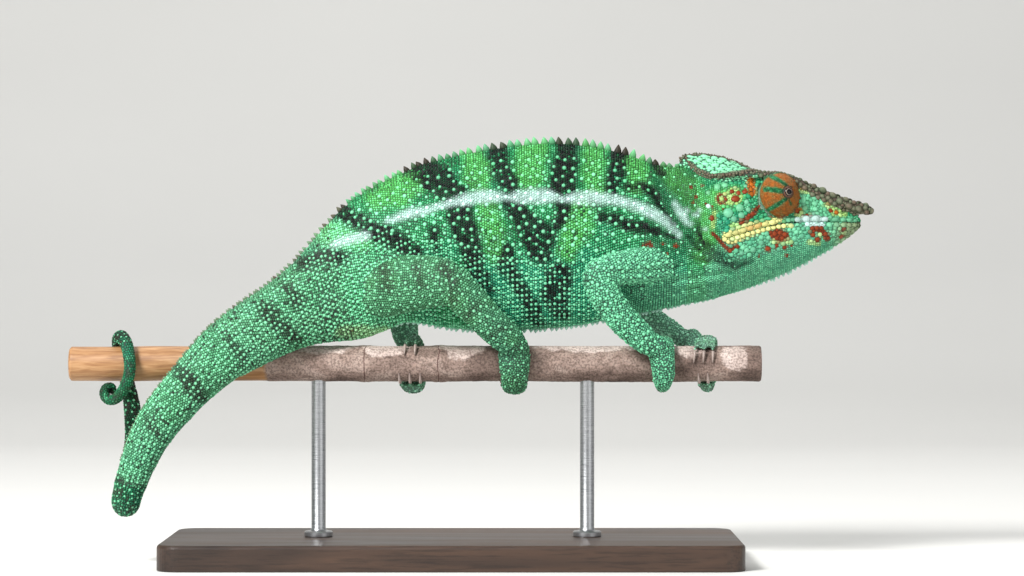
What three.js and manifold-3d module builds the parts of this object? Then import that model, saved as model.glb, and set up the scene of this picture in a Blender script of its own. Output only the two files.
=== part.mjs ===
// A life-size male panther chameleon (Furcifer pardalis) that grips a cut length of branch,
// held up by a plain display stand, as a museum shows one.
// Millimetres, +Z up. The origin is the middle of the stand's underside. The animal faces +X,
// its right side faces -Y, and the branch runs along X under its belly.
// The body is one run of cross-sections from the snout to the tail, parted into lengths with
// thin gaps. The limbs are bent tubes, and the toes are arcs round the branch.

import * as THREE from "three";
import { mergeVertices } from "three/addons/utils/BufferGeometryUtils.js";
import Module from "manifold-3d";

const wasm = await Module();
wasm.setup();

// ---------------------------------------------------------------- driving sizes

const GAP = 0.3; // between pieces that touch
const LEFT = 1; // the animal's left side, towards +Y
const RIGHT = -1;

const branch = {
  axisZ: 69.5,
  radius: 6.2,
  from: -134,
  to: 108,
  rings: [-30.5, -4.8, 60], // where old leaf joints swell the stem
  swell: 0.35,
};

const stand = {
  length: 200,
  width: 88,
  thick: 9,
  corner: 8,
  bevel: 1,
  rodRadius: 2.5,
  rodsX: [-47, 47],
};

const spines = { spacing: 3.1, sides: 4, radius: 1.15 };

const point = (x, y, z) => new THREE.Vector3(x, y, z);

// ---------------------------------------------------------------- solids

// A manifold solid of a closed three.js geometry. One whose faces point inwards is turned.
function solid(geometry) {
  const bare = geometry.clone();
  bare.deleteAttribute("normal");
  bare.deleteAttribute("uv");
  const merged = mergeVertices(bare, 1e-4);
  const corners = merged.index.array;
  const kept = [];
  for (let i = 0; i < corners.length; i += 3) {
    const [a, b, c] = corners.slice(i, i + 3);
    if (a !== b && b !== c && c !== a) kept.push([a, b, c]);
  }
  const build = (triangles) =>
    new wasm.Manifold(
      new wasm.Mesh({
        numProp: 3,
        vertProperties: new Float32Array(merged.attributes.position.array),
        triVerts: new Uint32Array(triangles.flat()),
      }),
    );
  const made = build(kept);
  return made.volume() > 0 ? made : build(kept.map(([a, b, c]) => [a, c, b]));
}

// The three.js geometry of a manifold solid.
function geometryOf(made) {
  const mesh = made.getMesh();
  const places = new Float32Array(mesh.numVert * 3);
  for (let i = 0; i < mesh.numVert; i++) {
    const from = i * mesh.numProp;
    places.set(mesh.vertProperties.subarray(from, from + 3), i * 3);
  }
  const geometry = new THREE.BufferGeometry();
  geometry.setAttribute("position", new THREE.BufferAttribute(places, 3));
  geometry.setIndex(new THREE.BufferAttribute(mesh.triVerts, 1));
  geometry.computeVertexNormals();
  return geometry;
}

// A closed body through rings of points, on the grid of a sphere whose poles close the two ends.
function loft(rings) {
  const sides = rings[0].length;
  const geometry = new THREE.SphereGeometry(1, sides, rings.length + 1);
  const places = geometry.getAttribute("position");
  const middle = (ring) => {
    const sum = ring.reduce((total, p) => total.add(p), point(0, 0, 0));
    return Array(sides).fill(sum.divideScalar(sides));
  };
  const rows = [middle(rings[0]), ...rings, middle(rings.at(-1))];
  rows.forEach((row, i) => {
    for (let j = 0; j <= sides; j++) {
      places.setXYZ(i * (sides + 1) + j, ...row[j % sides].toArray());
    }
  });
  return solid(geometry);
}

// Rings round a path. Each of sizes is the half-width along side and the half-height across it.
function tubeRings({ path, sizes, side, rows, sides, grow = 0, domes = true }) {
  const course = new THREE.CatmullRomCurve3(path);
  const spread = new THREE.CatmullRomCurve3(sizes.map(([w, h]) => point(w, h, 0)));
  const across = side.clone();
  const rings = [];
  for (let i = 0; i <= rows; i++) {
    const centre = course.getPoint(i / rows);
    const along = course.getTangent(i / rows);
    across.addScaledVector(along, -across.dot(along)).normalize();
    const up = point(0, 0, 0).crossVectors(along, across);
    const half = spread.getPoint(i / rows);
    const ring = (reach, share) =>
      Array.from({ length: sides }, (_, j) => {
        const angle = (j / sides) * 2 * Math.PI;
        return centre
          .clone()
          .addScaledVector(along, reach)
          .addScaledVector(up, Math.cos(angle) * (half.y + grow) * share)
          .addScaledVector(across, Math.sin(angle) * (half.x + grow) * share);
      });
    const dome = 0.7 * (Math.min(half.x, half.y) + grow);
    if (domes && i === 0) rings.push(ring(-dome, 0.7));
    rings.push(ring(0, 1));
    if (domes && i === rows) rings.push(ring(dome, 0.7));
  }
  return rings;
}

const tube = (limb) => loft(tubeRings(limb));

// A lathed body whose axis points along a direction from a place. profile holds [radius, height].
function turned(profile, sides, place, direction) {
  const outline = profile.map(([r, h]) => new THREE.Vector2(r, h));
  const geometry = new THREE.LatheGeometry(outline, sides);
  const upright = point(0, 1, 0);
  const turn = new THREE.Quaternion().setFromUnitVectors(upright, direction.clone().normalize());
  geometry.applyQuaternion(turn);
  geometry.translate(place.x, place.y, place.z);
  return solid(geometry);
}

// ---------------------------------------------------------------- the branch and its stand

// A round stem along X that swells a little at its old leaf joints, with rounded edges.
function branchSolid(grow = 0) {
  const { axisZ, radius, from, to, rings, swell } = branch;
  const profile = [[0, from - grow], [radius - 0.8 + grow, from - grow], [radius + grow, from + 0.8]];
  for (const x of rings) {
    profile.push([radius + grow, x - 4], [radius + swell + grow, x], [radius + grow, x + 4]);
  }
  profile.push([radius + grow, to - 0.8], [radius - 0.8 + grow, to + grow], [0, to + grow]);
  return turned(profile, 14, point(0, 0, axisZ), point(1, 0, 0));
}

// A plate with round corners and a small bevel, lying on Z = 0.
function baseSolid() {
  const { length, width, thick, corner, bevel } = stand;
  const [x, y] = [length / 2 - bevel, width / 2 - bevel];
  const r = corner - bevel;
  const outline = new THREE.Shape();
  outline.moveTo(-x + r, -y);
  outline.lineTo(x - r, -y);
  outline.absarc(x - r, -y + r, r, -Math.PI / 2, 0);
  outline.absarc(x - r, y - r, r, 0, Math.PI / 2);
  outline.absarc(-x + r, y - r, r, Math.PI / 2, Math.PI);
  outline.absarc(-x + r, -y + r, r, Math.PI, 1.5 * Math.PI);
  const geometry = new THREE.ExtrudeGeometry(outline, {
    depth: thick - 2 * bevel,
    bevelThickness: bevel,
    bevelSize: bevel,
    bevelSegments: 1,
    curveSegments: 3,
  });
  geometry.translate(0, 0, bevel);
  return solid(geometry);
}

// A rod from the plate's top up to the branch, cut to the branch's round underside.
function rodSolid(x) {
  const foot = stand.thick + GAP;
  const height = branch.axisZ - foot;
  const rod = new THREE.CylinderGeometry(stand.rodRadius, stand.rodRadius, height, 16);
  rod.rotateX(Math.PI / 2);
  rod.translate(x, 0, foot + height / 2);
  return solid(rod).subtract(branchSolid(GAP));
}

// ---------------------------------------------------------------- the body's cross-sections

// From the snout to the hanging part of the tail. back and belly are the section's highest and
// lowest points as [x, z], y its sideways place, half its half-width and level the share of its
// height at which it is widest. ridge and keel are the roundness of its upper and lower half:
// 2 is an ellipse, less is sharper and more is boxier.
const station = (name, back, belly, y, half, level, ridge, keel) => {
  return { name, back, belly, y, half, level, ridge, keel };
};
const sections = [
  station("snout", [143.0, 120.0], [142.9, 117.8], 0, 1.8, 0.5, 2, 2),
  station("lips", [141.6, 121.4], [141.6, 115.6], 0, 3.6, 0.5, 2.2, 2),
  station("nostrils", [138, 123.6], [138, 113.0], 0, 5.2, 0.48, 2.4, 1.9),
  station("muzzle", [132, 127.2], [132, 109.0], 0, 7.2, 0.46, 2.8, 1.8),
  station("browFront", [124, 131.6], [124, 104.3], 0, 9.0, 0.46, 3.0, 1.7),
  station("eyes", [115, 135.4], [115, 99.9], 0, 10.4, 0.44, 3.0, 1.7),
  station("browBack", [106, 135.9], [106, 96.1], 0, 12.2, 0.44, 2.6, 1.7),
  station("temples", [97, 136.0], [98, 93.2], 0, 13.6, 0.46, 2.2, 1.7),
  station("nape", [84, 139.2], [89, 90.8], 0, 13.2, 0.42, 1.9, 1.8),
  station("neck", [77, 138.9], [80, 89.2], 0, 12.6, 0.4, 1.8, 1.8),
  station("withers", [69, 140.4], [66, 86.3], 0, 13.2, 0.4, 1.7, 1.9),
  station("shoulders", [60, 143.6], [58, 84.6], 0, 13.6, 0.42, 1.7, 2),
  station("chest", [48, 146.2], [48, 82.6], 0, 14.2, 0.42, 1.7, 2),
  station("ribs", [34, 147.3], [34, 80.8], 0, 14.5, 0.42, 1.7, 2),
  station("midBack", [19, 146.0], [20, 80.1], 0, 14.5, 0.42, 1.7, 2),
  station("loin", [4, 143.4], [6, 80.2], 0, 14.3, 0.44, 1.7, 2),
  station("flank", [-11, 139.8], [-8, 82.0], 0, 13.8, 0.46, 1.7, 2),
  station("croup", [-24, 134.0], [-17, 83.8], 0, 13.1, 0.48, 1.8, 2),
  station("hip", [-35, 127.6], [-24.5, 79.3], 0, 12.8, 0.5, 1.8, 2),
  station("rump", [-43.5, 120.0], [-33.5, 77.1], -1, 12.0, 0.5, 1.8, 2),
  station("tailRoot", [-51, 110.6], [-42, 76.6], -3.5, 11.0, 0.5, 1.9, 2),
  station("tail1", [-59, 101.8], [-51, 75.2], -7, 10.2, 0.5, 1.9, 2.1),
  station("tail2", [-67.5, 95.3], [-58.5, 72.2], -10.5, 9.6, 0.5, 2, 2.1),
  station("tail3", [-77.5, 88.8], [-66, 68.4], -13.8, 9.0, 0.5, 2, 2.1),
  station("midTail", [-87.3, 80.0], [-74, 64.4], -15.8, 8.2, 0.5, 2, 2.1),
  station("tail4", [-96.0, 69.3], [-82.6, 58.0], -16.2, 7.5, 0.5, 2, 2),
  station("tail5", [-104.3, 59.4], [-91.2, 49.4], -15.5, 7.0, 0.5, 2, 2),
  station("tail6", [-110.8, 49.2], [-98.0, 41.4], -14.4, 6.6, 0.5, 2, 2),
  station("tail7", [-114.4, 39.2], [-102.4, 34.0], -13.2, 6.3, 0.5, 2, 2),
  station("tailHang", [-117.3, 29.6], [-105.4, 27.2], -12, 6.1, 0.5, 2, 2),
];
const bodySides = 16;
const bodyRings = 36;

const backLine = new THREE.CatmullRomCurve3(sections.map((s) => point(s.back[0], s.y, s.back[1])));
const bellyLine = new THREE.CatmullRomCurve3(sections.map((s) => point(s.belly[0], s.y, s.belly[1])));
const girths = new THREE.CatmullRomCurve3(sections.map((s) => point(s.half, s.level, 0)));
const roundness = new THREE.CatmullRomCurve3(sections.map((s) => point(s.ridge, s.keel, 0)));
const shareOf = (name) => sections.findIndex((s) => s.name === name) / (sections.length - 1);
const nape = shareOf("nape");
const withers = shareOf("withers");
const rump = shareOf("rump");
const midTail = shareOf("midTail");
const tailJoint = 1 - (2 * GAP) / bellyLine.getLength();

// One cross-section at a share of the way from the snout, made of two halves of superellipses.
function bodyRing(share, grow) {
  const back = backLine.getPoint(share);
  const belly = bellyLine.getPoint(share);
  const { x: half, y: level } = girths.getPoint(share);
  const { x: ridge, y: keel } = roundness.getPoint(share);
  const widest = belly.clone().lerp(back, level);
  return Array.from({ length: bodySides }, (_, j) => {
    const angle = (j / bodySides) * 2 * Math.PI;
    const upper = Math.cos(angle) > 0;
    const power = 2 / (upper ? ridge : keel);
    const reach = (upper ? back : belly).clone().sub(widest);
    const length = reach.length();
    const rise = Math.abs(Math.cos(angle)) ** power * (1 + grow / length);
    const out = Math.sign(Math.sin(angle)) * Math.abs(Math.sin(angle)) ** power * (half + grow);
    return widest.clone().addScaledVector(reach, rise).add(point(0, out, 0));
  });
}

// The stretch of the body between two named sections, with half a gap left at each end. All
// stretches share the same rings, so a grown one holds the true one everywhere.
function bodyLength(from, to, grow = 0) {
  const trim = (GAP / 2 - grow) / bellyLine.getLength();
  const [start, end] = [from > 0 ? from + trim : 0, to < 1 ? to - trim : 1];
  const even = Array.from({ length: bodyRings + 1 }, (_, i) => i / bodyRings);
  const all = [...even, nape, withers, rump, midTail].sort((a, b) => a - b);
  const inner = all.filter((share) => share > from + 1e-3 && share < to - 1e-3);
  return loft([start, ...inner, end].map((share) => bodyRing(share, grow)));
}

// The comb of backward-leaning cones along the back, between two shares of its length.
function comb(from, to) {
  const count = Math.round((backLine.getLength() * (to - from)) / spines.spacing);
  return Array.from({ length: count }, (_, i) => {
    const share = from + ((to - from) * (i + 0.5)) / count;
    const tall = 3.0 - 4.5 * Math.abs(share - withers - 0.1);
    const cone = new THREE.ConeGeometry(spines.radius, tall + 1.5, spines.sides);
    cone.translate(0, tall / 2 - 0.75, 0);
    const along = backLine.getTangent(share);
    const lean = point(along.z, 0, -along.x).addScaledVector(along, 0.15).normalize();
    const place = backLine.getPoint(share);
    cone.applyQuaternion(new THREE.Quaternion().setFromUnitVectors(point(0, 1, 0), lean));
    cone.translate(place.x, place.y, place.z);
    return solid(cone);
  });
}
const joined = (first, others) => others.reduce((sum, next) => sum.add(next), first);

// ---------------------------------------------------------------- the tail's end

// From the lowest bend behind and over the branch, down its near side, to the curled tip.
const tailEnd = [
  { at: [-111.4, -12.0, 28.4], r: 6.1 },
  { at: [-113.2, -10.3, 23.1], r: 5.75 },
  { at: [-113.9, -5.2, 20.8], r: 5.5 },
  { at: [-113.8, 0.2, 23.0], r: 5.2 },
  { at: [-112.9, 3.6, 30.0], r: 4.75 },
  { at: [-112.2, 6.2, 40.0], r: 4.1 },
  { at: [-112.8, 8.4, 50.0], r: 3.6 },
  { name: "underBranch", at: [-114.4, 10.2, 60.0], r: 3.2 },
  { at: [-116.8, 10.3, 69.0], r: 3.1 },
  { at: [-117.9, 7.3, 76.0], r: 3.1 },
  { at: [-116.3, 0.0, 79.2], r: 3.05 },
  { name: "overBranch", at: [-113.4, -7.0, 76.1], r: 2.85 },
  { at: [-111.9, -9.5, 70.0], r: 2.65 },
  { at: [-112.3, -9.7, 65.4], r: 2.55 },
  { at: [-114.1, -9.3, 60.9], r: 2.5 },
  { at: [-116.9, -8.4, 57.5], r: 2.45 },
  { at: [-119.9, -7.2, 56.9], r: 2.35 },
  { at: [-121.6, -6.0, 59.0], r: 2.15 },
  { at: [-120.9, -5.0, 61.6], r: 1.9 },
  { at: [-118.7, -4.0, 61.9], r: 1.65 },
  { at: [-118.0, -3.2, 60.0], r: 1.35 },
  { at: [-119.3, -2.6, 59.1], r: 1.05 },
];
const tailShare = (name) => tailEnd.findIndex((s) => s.name === name) / (tailEnd.length - 1);

// A stretch of that bent end. The whole course is rung once, so that its lengths line up.
function tailEndLength(from, to, sides) {
  const rowsEach = 2;
  const last = (tailEnd.length - 1) * rowsEach;
  const rings = tubeRings({
    path: tailEnd.map(({ at }) => point(...at)),
    sizes: tailEnd.map(({ r }) => [r, r]),
    side: point(0, 1, 0),
    rows: last,
    sides,
    domes: false,
  });
  const [first, final] = [Math.round(from * last), Math.round(to * last)];
  const kept = rings.slice(first, final + 1);
  if (final < last) {
    const [before, end] = kept.slice(-2);
    const share = GAP / before[0].distanceTo(end[0]);
    kept[kept.length - 1] = end.map((p, j) => p.clone().lerp(before[j], share));
  } else {
    const middle = (ring) => ring[0].clone().lerp(ring[sides / 2], 0.5);
    const tip = kept.at(-1);
    const beyond = middle(tip).sub(middle(kept.at(-2)));
    kept.push(tip.map((p) => p.clone().lerp(middle(tip), 0.45).addScaledVector(beyond, 0.35)));
  }
  return loft(kept);
}

// ---------------------------------------------------------------- the head

// The side outline of all that lies below the line of the mouth, spread across the head.
const mouthLine = [
  [70, 103],
  [88, 109.5],
  [95.5, 113.4],
  [104, 116.0],
  [112, 118.0],
  [120, 118.9],
  [130, 119.3],
  [146, 118.7],
];
function belowMouth(raise) {
  const outline = new THREE.Shape(mouthLine.map(([x, z]) => new THREE.Vector2(x, z + raise)));
  outline.lineTo(146, 60);
  outline.lineTo(70, 60);
  const slab = new THREE.ExtrudeGeometry(outline, { depth: 60, bevelEnabled: false });
  slab.rotateX(Math.PI / 2);
  slab.translate(0, 30, 0);
  return solid(slab);
}

// The helmet: a low roof whose middle ridge and two side ridges meet at its hind tip.
const casqueRibs = [
  { x: 79.4, top: 141.3, ridgeY: 0.5, ridgeZ: 140.6 },
  { x: 81.2, top: 142.9, ridgeY: 0.7, ridgeZ: 141.9 },
  { x: 83, top: 143.2, ridgeY: 2.8, ridgeZ: 139.4 },
  { x: 86, top: 143.2, ridgeY: 5.2, ridgeZ: 136.5 },
  { x: 90, top: 142.8, ridgeY: 7.3, ridgeZ: 135.0 },
  { x: 95, top: 141.8, ridgeY: 8.6, ridgeZ: 135.2 },
  { x: 100, top: 140.0, ridgeY: 8.9, ridgeZ: 136.0 },
  { x: 104, top: 138.0, ridgeY: 8.6, ridgeZ: 136.5 },
  { x: 106.2, top: 137.2, ridgeY: 7.8, ridgeZ: 136.4 },
];
function casqueSolid() {
  const rings = casqueRibs.map(({ x, top, ridgeY, ridgeZ }) => {
    const half = [
      [0, top],
      [ridgeY * 0.12, top - 0.3],
      [ridgeY * 0.5, (top + ridgeZ) / 2 - 0.5],
      [ridgeY * 0.86, ridgeZ + 0.9],
      [ridgeY, ridgeZ + 0.3],
      [ridgeY * 0.75, ridgeZ - 2.2],
    ];
    const mirrored = half.slice(1).reverse().map(([y, z]) => [-y, z]);
    return [...half, [0, ridgeZ - 3], ...mirrored].map(([y, z]) => point(x, y, z));
  });
  return loft(rings);
}

// The two knobbly ridges that run from over the eyes and join in a blunt plate past the snout.
const snoutRidge = [
  { at: [108, 7.0, 136.5], half: [1.4, 0.6] },
  { at: [113, 6.8, 136.5], half: [1.5, 0.65] },
  { at: [118, 6.8, 134.9], half: [1.5, 1.0] },
  { at: [122, 6.6, 132.4], half: [1.5, 1.5] },
  { at: [128, 5.9, 129.0], half: [1.8, 2.0] },
  { at: [135, 4.8, 126.0], half: [2.1, 2.4] },
  { at: [141, 3.5, 124.3], half: [2.2, 2.5] },
  { at: [145.4, 1.5, 123.1], half: [2.3, 2.1] },
];
function rostralCrest() {
  const [right, left] = [RIGHT, LEFT].map((way) =>
    tube({
      path: snoutRidge.map(({ at }) => point(at[0], at[1] * way, at[2])),
      sizes: snoutRidge.map(({ half }) => half),
      side: point(0, 1, 0),
      rows: 7,
      sides: 6,
    }),
  );
  return right.add(left);
}

// A cone-shaped lid that swivels with the eye, its small round opening at the tip.
const turret = { at: [112.9, 8.8, 128.4], gaze: [0.43, 0.897, 0.1] };
const turretProfile = [
  [0, -6.0],
  [6.0, -4.6],
  [7.95, 0],
  [7.5, 2.8],
  [6.0, 5.2],
  [3.7, 7.0],
  [1.8, 8.2],
  [0, 8.2],
];
const eyeball = { radius: 1.95, depth: 6.6 };
function onTurret(way, distance) {
  const [x, y, z] = turret.at;
  const [gx, gy, gz] = turret.gaze;
  return point(x + gx * distance, (y + gy * distance) * way, z + gz * distance);
}
function turretSolid(way, grow = 0) {
  const profile = turretProfile.map(([r, h]) => [r && r + grow, h + Math.sign(h) * grow]);
  const [gx, gy, gz] = turret.gaze;
  return turned(profile, 14, onTurret(way, 0), point(gx, gy * way, gz));
}
function eyeballSolid(way, grow = 0) {
  const ball = new THREE.SphereGeometry(eyeball.radius + grow, 10, 5);
  const centre = onTurret(way, eyeball.depth);
  ball.translate(centre.x, centre.y, centre.z);
  return solid(ball);
}

// ---------------------------------------------------------------- limbs

const limbs = [
  {
    name: "front_right",
    side: RIGHT,
    upper: "upper_arm",
    lower: "forearm",
    end: "hand",
    upperPath: [[74, -7, 104.5], [66, -13, 103.8], [57, -18, 102.8], [50.5, -20, 101.2]],
    upperSizes: [[6.5, 7.5], [6, 6.8], [5.6, 6.2], [5.6, 5.9]],
    lowerPath: [[49.4, -20, 99.5], [53.6, -19.3, 91.5], [60, -16.8, 83.6], [68, -13.2, 76.8]],
    lowerSizes: [[5.2, 5.6], [5.6, 6.0], [5.3, 6.0], [4.7, 5.2]],
    footX: 73.3,
    wristX: 71.2,
    palmHalf: 5.5,
    toes: { inner: 3, outer: 2 },
    reachOver: 112,
    lean: 0,
  },
  {
    name: "front_left",
    side: LEFT,
    upper: "upper_arm",
    lower: "forearm",
    end: "hand",
    upperPath: [[74, 7, 102], [69, 13, 99], [64, 18.5, 96.5], [60, 21, 94.5]],
    upperSizes: [[6.5, 7.5], [6, 6.8], [5.6, 6.2], [5.4, 5.7]],
    lowerPath: [[60, 21.3, 93], [66, 20, 88], [73, 16.5, 83.2], [80, 12.8, 78.8]],
    lowerSizes: [[5.0, 5.4], [5.0, 5.2], [4.6, 4.6], [4.4, 4.2]],
    footX: 89.2,
    wristX: 84.4,
    palmHalf: 5.5,
    toes: { inner: 3, outer: 2 },
    reachOver: 136,
    lean: -1.6,
  },
  {
    name: "hind_right",
    side: RIGHT,
    upper: "thigh",
    lower: "shin",
    end: "foot",
    upperPath: [[-31, -5, 95], [-20, -11.5, 96.5], [-9, -17, 98.3], [-1.5, -20, 98.3]],
    upperSizes: [[7, 11], [7, 10.6], [6.8, 10], [6.4, 9.2]],
    lowerPath: [[0.5, -20.5, 97.5], [8, -19.6, 89.5], [15, -17, 81.8], [20.8, -13.4, 77]],
    lowerSizes: [[6, 7.4], [5.9, 6.7], [5.3, 6.4], [4.7, 6]],
    footX: 21.6,
    wristX: 21.6,
    palmHalf: 6.6,
    toes: { inner: 2, outer: 3 },
    reachOver: 112,
    lean: -0.8,
  },
  {
    name: "hind_left",
    side: LEFT,
    upper: "thigh",
    lower: "shin",
    end: "foot",
    upperPath: [[-31, 5, 93], [-25, 12, 92], [-20, 18.5, 90.5], [-17.5, 22, 89]],
    upperSizes: [[7, 10], [6.8, 9], [6.4, 7.8], [6, 7]],
    lowerPath: [[-17, 21.4, 88], [-17.5, 20.3, 84], [-17.5, 17, 80.5], [-16.5, 13.2, 77.6]],
    lowerSizes: [[5.4, 6], [5.2, 5.6], [4.9, 5.2], [4.6, 5]],
    footX: -13.9,
    wristX: -15.6,
    palmHalf: 6.2,
    toes: { inner: 2, outer: 3 },
    reachOver: 112,
    lean: -0.9,
  },
];

// On each limb, reachOver is how far round the branch its upper toes come, in degrees from the
// palm, and lean how far the toes' ends stand back along the branch.
const foot = {
  reach: 4.5, // from the branch's surface to the middle of the palm
  palmThick: 4.2,
  bundleThick: [0.49, 0.38], // half its thickness in palm halves, at the palm and at the toes
  toeRadius: 1.2,
  toeSpacing: 0.5, // in palm halves
  fused: [18, 84], // degrees round the branch from the palm, where the toes are one bundle
  free: 68, // where each toe begins on its own
  reachUnder: 112,
  clawGap: 8,
  clawSpan: 32,
  clawRadius: 0.5,
};

// A point beside the branch: angle in degrees round it from the palm's side, upwards positive.
function besideBranch(limb, x, angle, distance) {
  const turn = THREE.MathUtils.degToRad(angle);
  const from = branch.radius + distance;
  return point(x, limb.side * from * Math.cos(turn), branch.axisZ + from * Math.sin(turn));
}

function arcPath(limb, [from, to], way, count, xAt, distanceAt) {
  return Array.from({ length: count }, (_, i) => {
    const share = i / (count - 1);
    const angle = way * (from + (to - from) * share);
    return besideBranch(limb, xAt(share), angle, distanceAt(share));
  });
}

function palmSolid(limb, grow = 0) {
  const [wrist] = limb.lowerPath.slice(-1);
  return tube({
    path: [
      point(limb.wristX, wrist[1] * 0.97, wrist[2] - 0.6),
      besideBranch(limb, (limb.wristX + limb.footX) / 2, 24, foot.reach + 0.7),
      besideBranch(limb, limb.footX, 0, foot.reach),
      besideBranch(limb, limb.footX, -32, foot.reach - 0.4),
    ],
    sizes: [
      [limb.palmHalf * 0.82, foot.palmThick],
      [limb.palmHalf * 0.94, foot.palmThick],
      [limb.palmHalf * 0.92, foot.palmThick],
      [limb.palmHalf * 0.8, foot.palmThick - 0.9],
    ],
    side: point(1, 0, 0),
    rows: 3,
    sides: 8,
    grow,
  });
}

// The toes of one bundle, as offsets along the branch from the foot's middle.
function toeOffsets(limb, count) {
  const spacing = foot.toeSpacing * limb.palmHalf;
  return Array.from({ length: count }, (_, i) => (i - (count - 1) / 2) * spacing);
}

// How far round the branch the toes of a bundle end.
const toeEnd = (limb, way) => (way > 0 ? limb.reachOver : foot.reachUnder);

// One bundle of toes: a mitt that narrows from the palm, and each toe free at its end.
function bundleSolid(limb, count, way) {
  const clear = GAP + 0.1;
  const { toeRadius } = foot;
  const thickAt = (share) => limb.palmHalf * THREE.MathUtils.lerp(...foot.bundleThick, share);
  const offsets = toeOffsets(limb, count);
  const toesHalf = offsets[count - 1] + toeRadius;
  const widthAt = (share) => THREE.MathUtils.lerp(limb.palmHalf * 0.84, toesHalf, share);
  const fused = tube({
    path: arcPath(limb, foot.fused, way, 5, () => limb.footX, (share) => clear + thickAt(share)),
    sizes: [0, 0.25, 0.5, 0.75, 1].map((share) => [widthAt(share), thickAt(share)]),
    side: point(1, 0, 0),
    rows: 3,
    sides: 8,
    domes: false,
  });
  const toes = offsets.map((offset) => {
    const along = (share) => limb.footX + offset * (0.94 + 0.2 * share) + limb.lean * share;
    return tube({
      path: arcPath(limb, [foot.free, toeEnd(limb, way)], way, 4, along, () => clear + toeRadius),
      sizes: [1, 1, 1, 0.86].map((share) => [toeRadius * share, toeRadius * share]),
      side: point(1, 0, 0),
      rows: 2,
      sides: 5,
    });
  });
  return joined(fused, toes);
}

// A curved claw on a toe's end, blunt enough to be solid at its tip.
function clawSolid(limb, offset, way) {
  const root = toeEnd(limb, way) + foot.clawGap;
  const along = (share) => limb.footX + offset * (1.14 + 0.06 * share) + limb.lean * (1 + 0.25 * share);
  const out = (share) => GAP + 1.2 - 0.9 * share * share;
  return tube({
    path: arcPath(limb, [root, root + foot.clawSpan], way, 3, along, out),
    sizes: [1, 0.8, 0.52].map((share) => [foot.clawRadius * share, foot.clawRadius * share]),
    side: point(1, 0, 0),
    rows: 2,
    sides: 4,
    domes: false,
  });
}

// ---------------------------------------------------------------- materials

const finish = (name, color, roughness, metalness = 0) =>
  new THREE.MeshStandardMaterial({ name, color, roughness, metalness });
const materials = {
  skin: finish("scaly skin", 0x3fae74, 0.62),
  crest: finish("horny crest scales", 0x6f5a54, 0.6),
  lid: finish("scaly eyelid", 0xb5532a, 0.6),
  eye: finish("eye", 0x120d0a, 0.12),
  claw: finish("claw horn", 0xb59a86, 0.4),
  bark: finish("weathered bark", 0x8b7264, 0.85),
  steel: finish("brushed steel", 0xa8aaac, 0.35, 1),
  timber: finish("dark stained timber", 0x2b211b, 0.45),
};

// ---------------------------------------------------------------- the model

const model = new THREE.Group();
model.name = "panther_chameleon";
function show(name, made, material) {
  const mesh = new THREE.Mesh(geometryOf(made), material);
  mesh.name = name;
  model.add(mesh);
}

// Branch and stand
show("perch", branchSolid(), materials.bark);
show("stand_base", baseSolid(), materials.timber);
stand.rodsX.forEach((x, i) => show(`stand_rod_${i + 1}`, rodSolid(x), materials.steel));
const branchRoom = branchSolid(GAP);

// Head: the cranium and the lower jaw part along the mouth, and sockets hold the two turrets.
const turretRooms = turretSolid(RIGHT, GAP).add(turretSolid(LEFT, GAP));
const head = bodyLength(0, nape);
show("lower_jaw", head.intersect(belowMouth(0)), materials.skin);
show("cranium", head.subtract(belowMouth(GAP)).subtract(turretRooms), materials.skin);
const headRooms = bodyLength(0, withers, GAP).add(turretRooms);
show("casque", casqueSolid().subtract(headRooms), materials.crest);
show("rostral_crest", rostralCrest().subtract(headRooms), materials.crest);
for (const [label, way] of [["right", RIGHT], ["left", LEFT]]) {
  const lid = turretSolid(way).subtract(eyeballSolid(way, GAP / 2));
  show(`eye_turret_${label}`, lid, materials.lid);
  show(`eye_${label}`, eyeballSolid(way), materials.eye);
}

// Neck, and trunk with the comb of spines along the back
show("neck", bodyLength(nape, withers), materials.skin);
const trunk = bodyLength(withers, rump);
show("trunk", joined(trunk, comb(withers + 0.01, rump - 0.01)), materials.skin);

// Tail
const hanging = (grow) => bodyLength(midTail, tailJoint, grow);
show("tail_base", bodyLength(rump, midTail), materials.skin);
show("tail_middle", hanging(0), materials.skin);
const bend = tailEndLength(0, tailShare("underBranch"), 10);
show("tail_bend", bend.subtract(hanging(GAP)), materials.skin);
show("tail_loop", tailEndLength(tailShare("underBranch"), tailShare("overBranch"), 8), materials.skin);
show("tail_tip", tailEndLength(tailShare("overBranch"), 1, 8), materials.skin);

// Limbs
const bodyRoom = bodyLength(0, 1, GAP);
for (const limb of limbs) {
  const bone = (path, sizes) => (grow) =>
    tube({ path: path.map((p) => point(...p)), sizes, side: point(0, 1, 0), rows: 3, sides: 10, grow });
  const upper = bone(limb.upperPath, limb.upperSizes);
  const lower = bone(limb.lowerPath, limb.lowerSizes);
  const name = (piece) => `${limb.name}_${piece}`;
  show(name(limb.upper), upper(0).subtract(bodyRoom), materials.skin);
  const shank = lower(0).subtract(upper(GAP)).subtract(bodyRoom);
  show(name(limb.lower), shank.subtract(branchRoom), materials.skin);
  const palm = palmSolid(limb).subtract(lower(GAP)).subtract(bodyRoom);
  show(name(limb.end), palm.subtract(branchRoom), materials.skin);
  const heelRoom = palmSolid(limb, GAP).add(lower(GAP)).add(bodyRoom);
  let clawNumber = 1;
  for (const [bundle, way] of [["inner", 1], ["outer", -1]]) {
    const count = limb.toes[bundle];
    const toes = bundleSolid(limb, count, way).subtract(heelRoom);
    show(name(`toes_${bundle}`), toes.subtract(branchRoom), materials.skin);
    for (const offset of toeOffsets(limb, count)) {
      show(name(`claw_${clawNumber}`), clawSolid(limb, offset, way), materials.claw);
      clawNumber += 1;
    }
  }
}

export default model;
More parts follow.
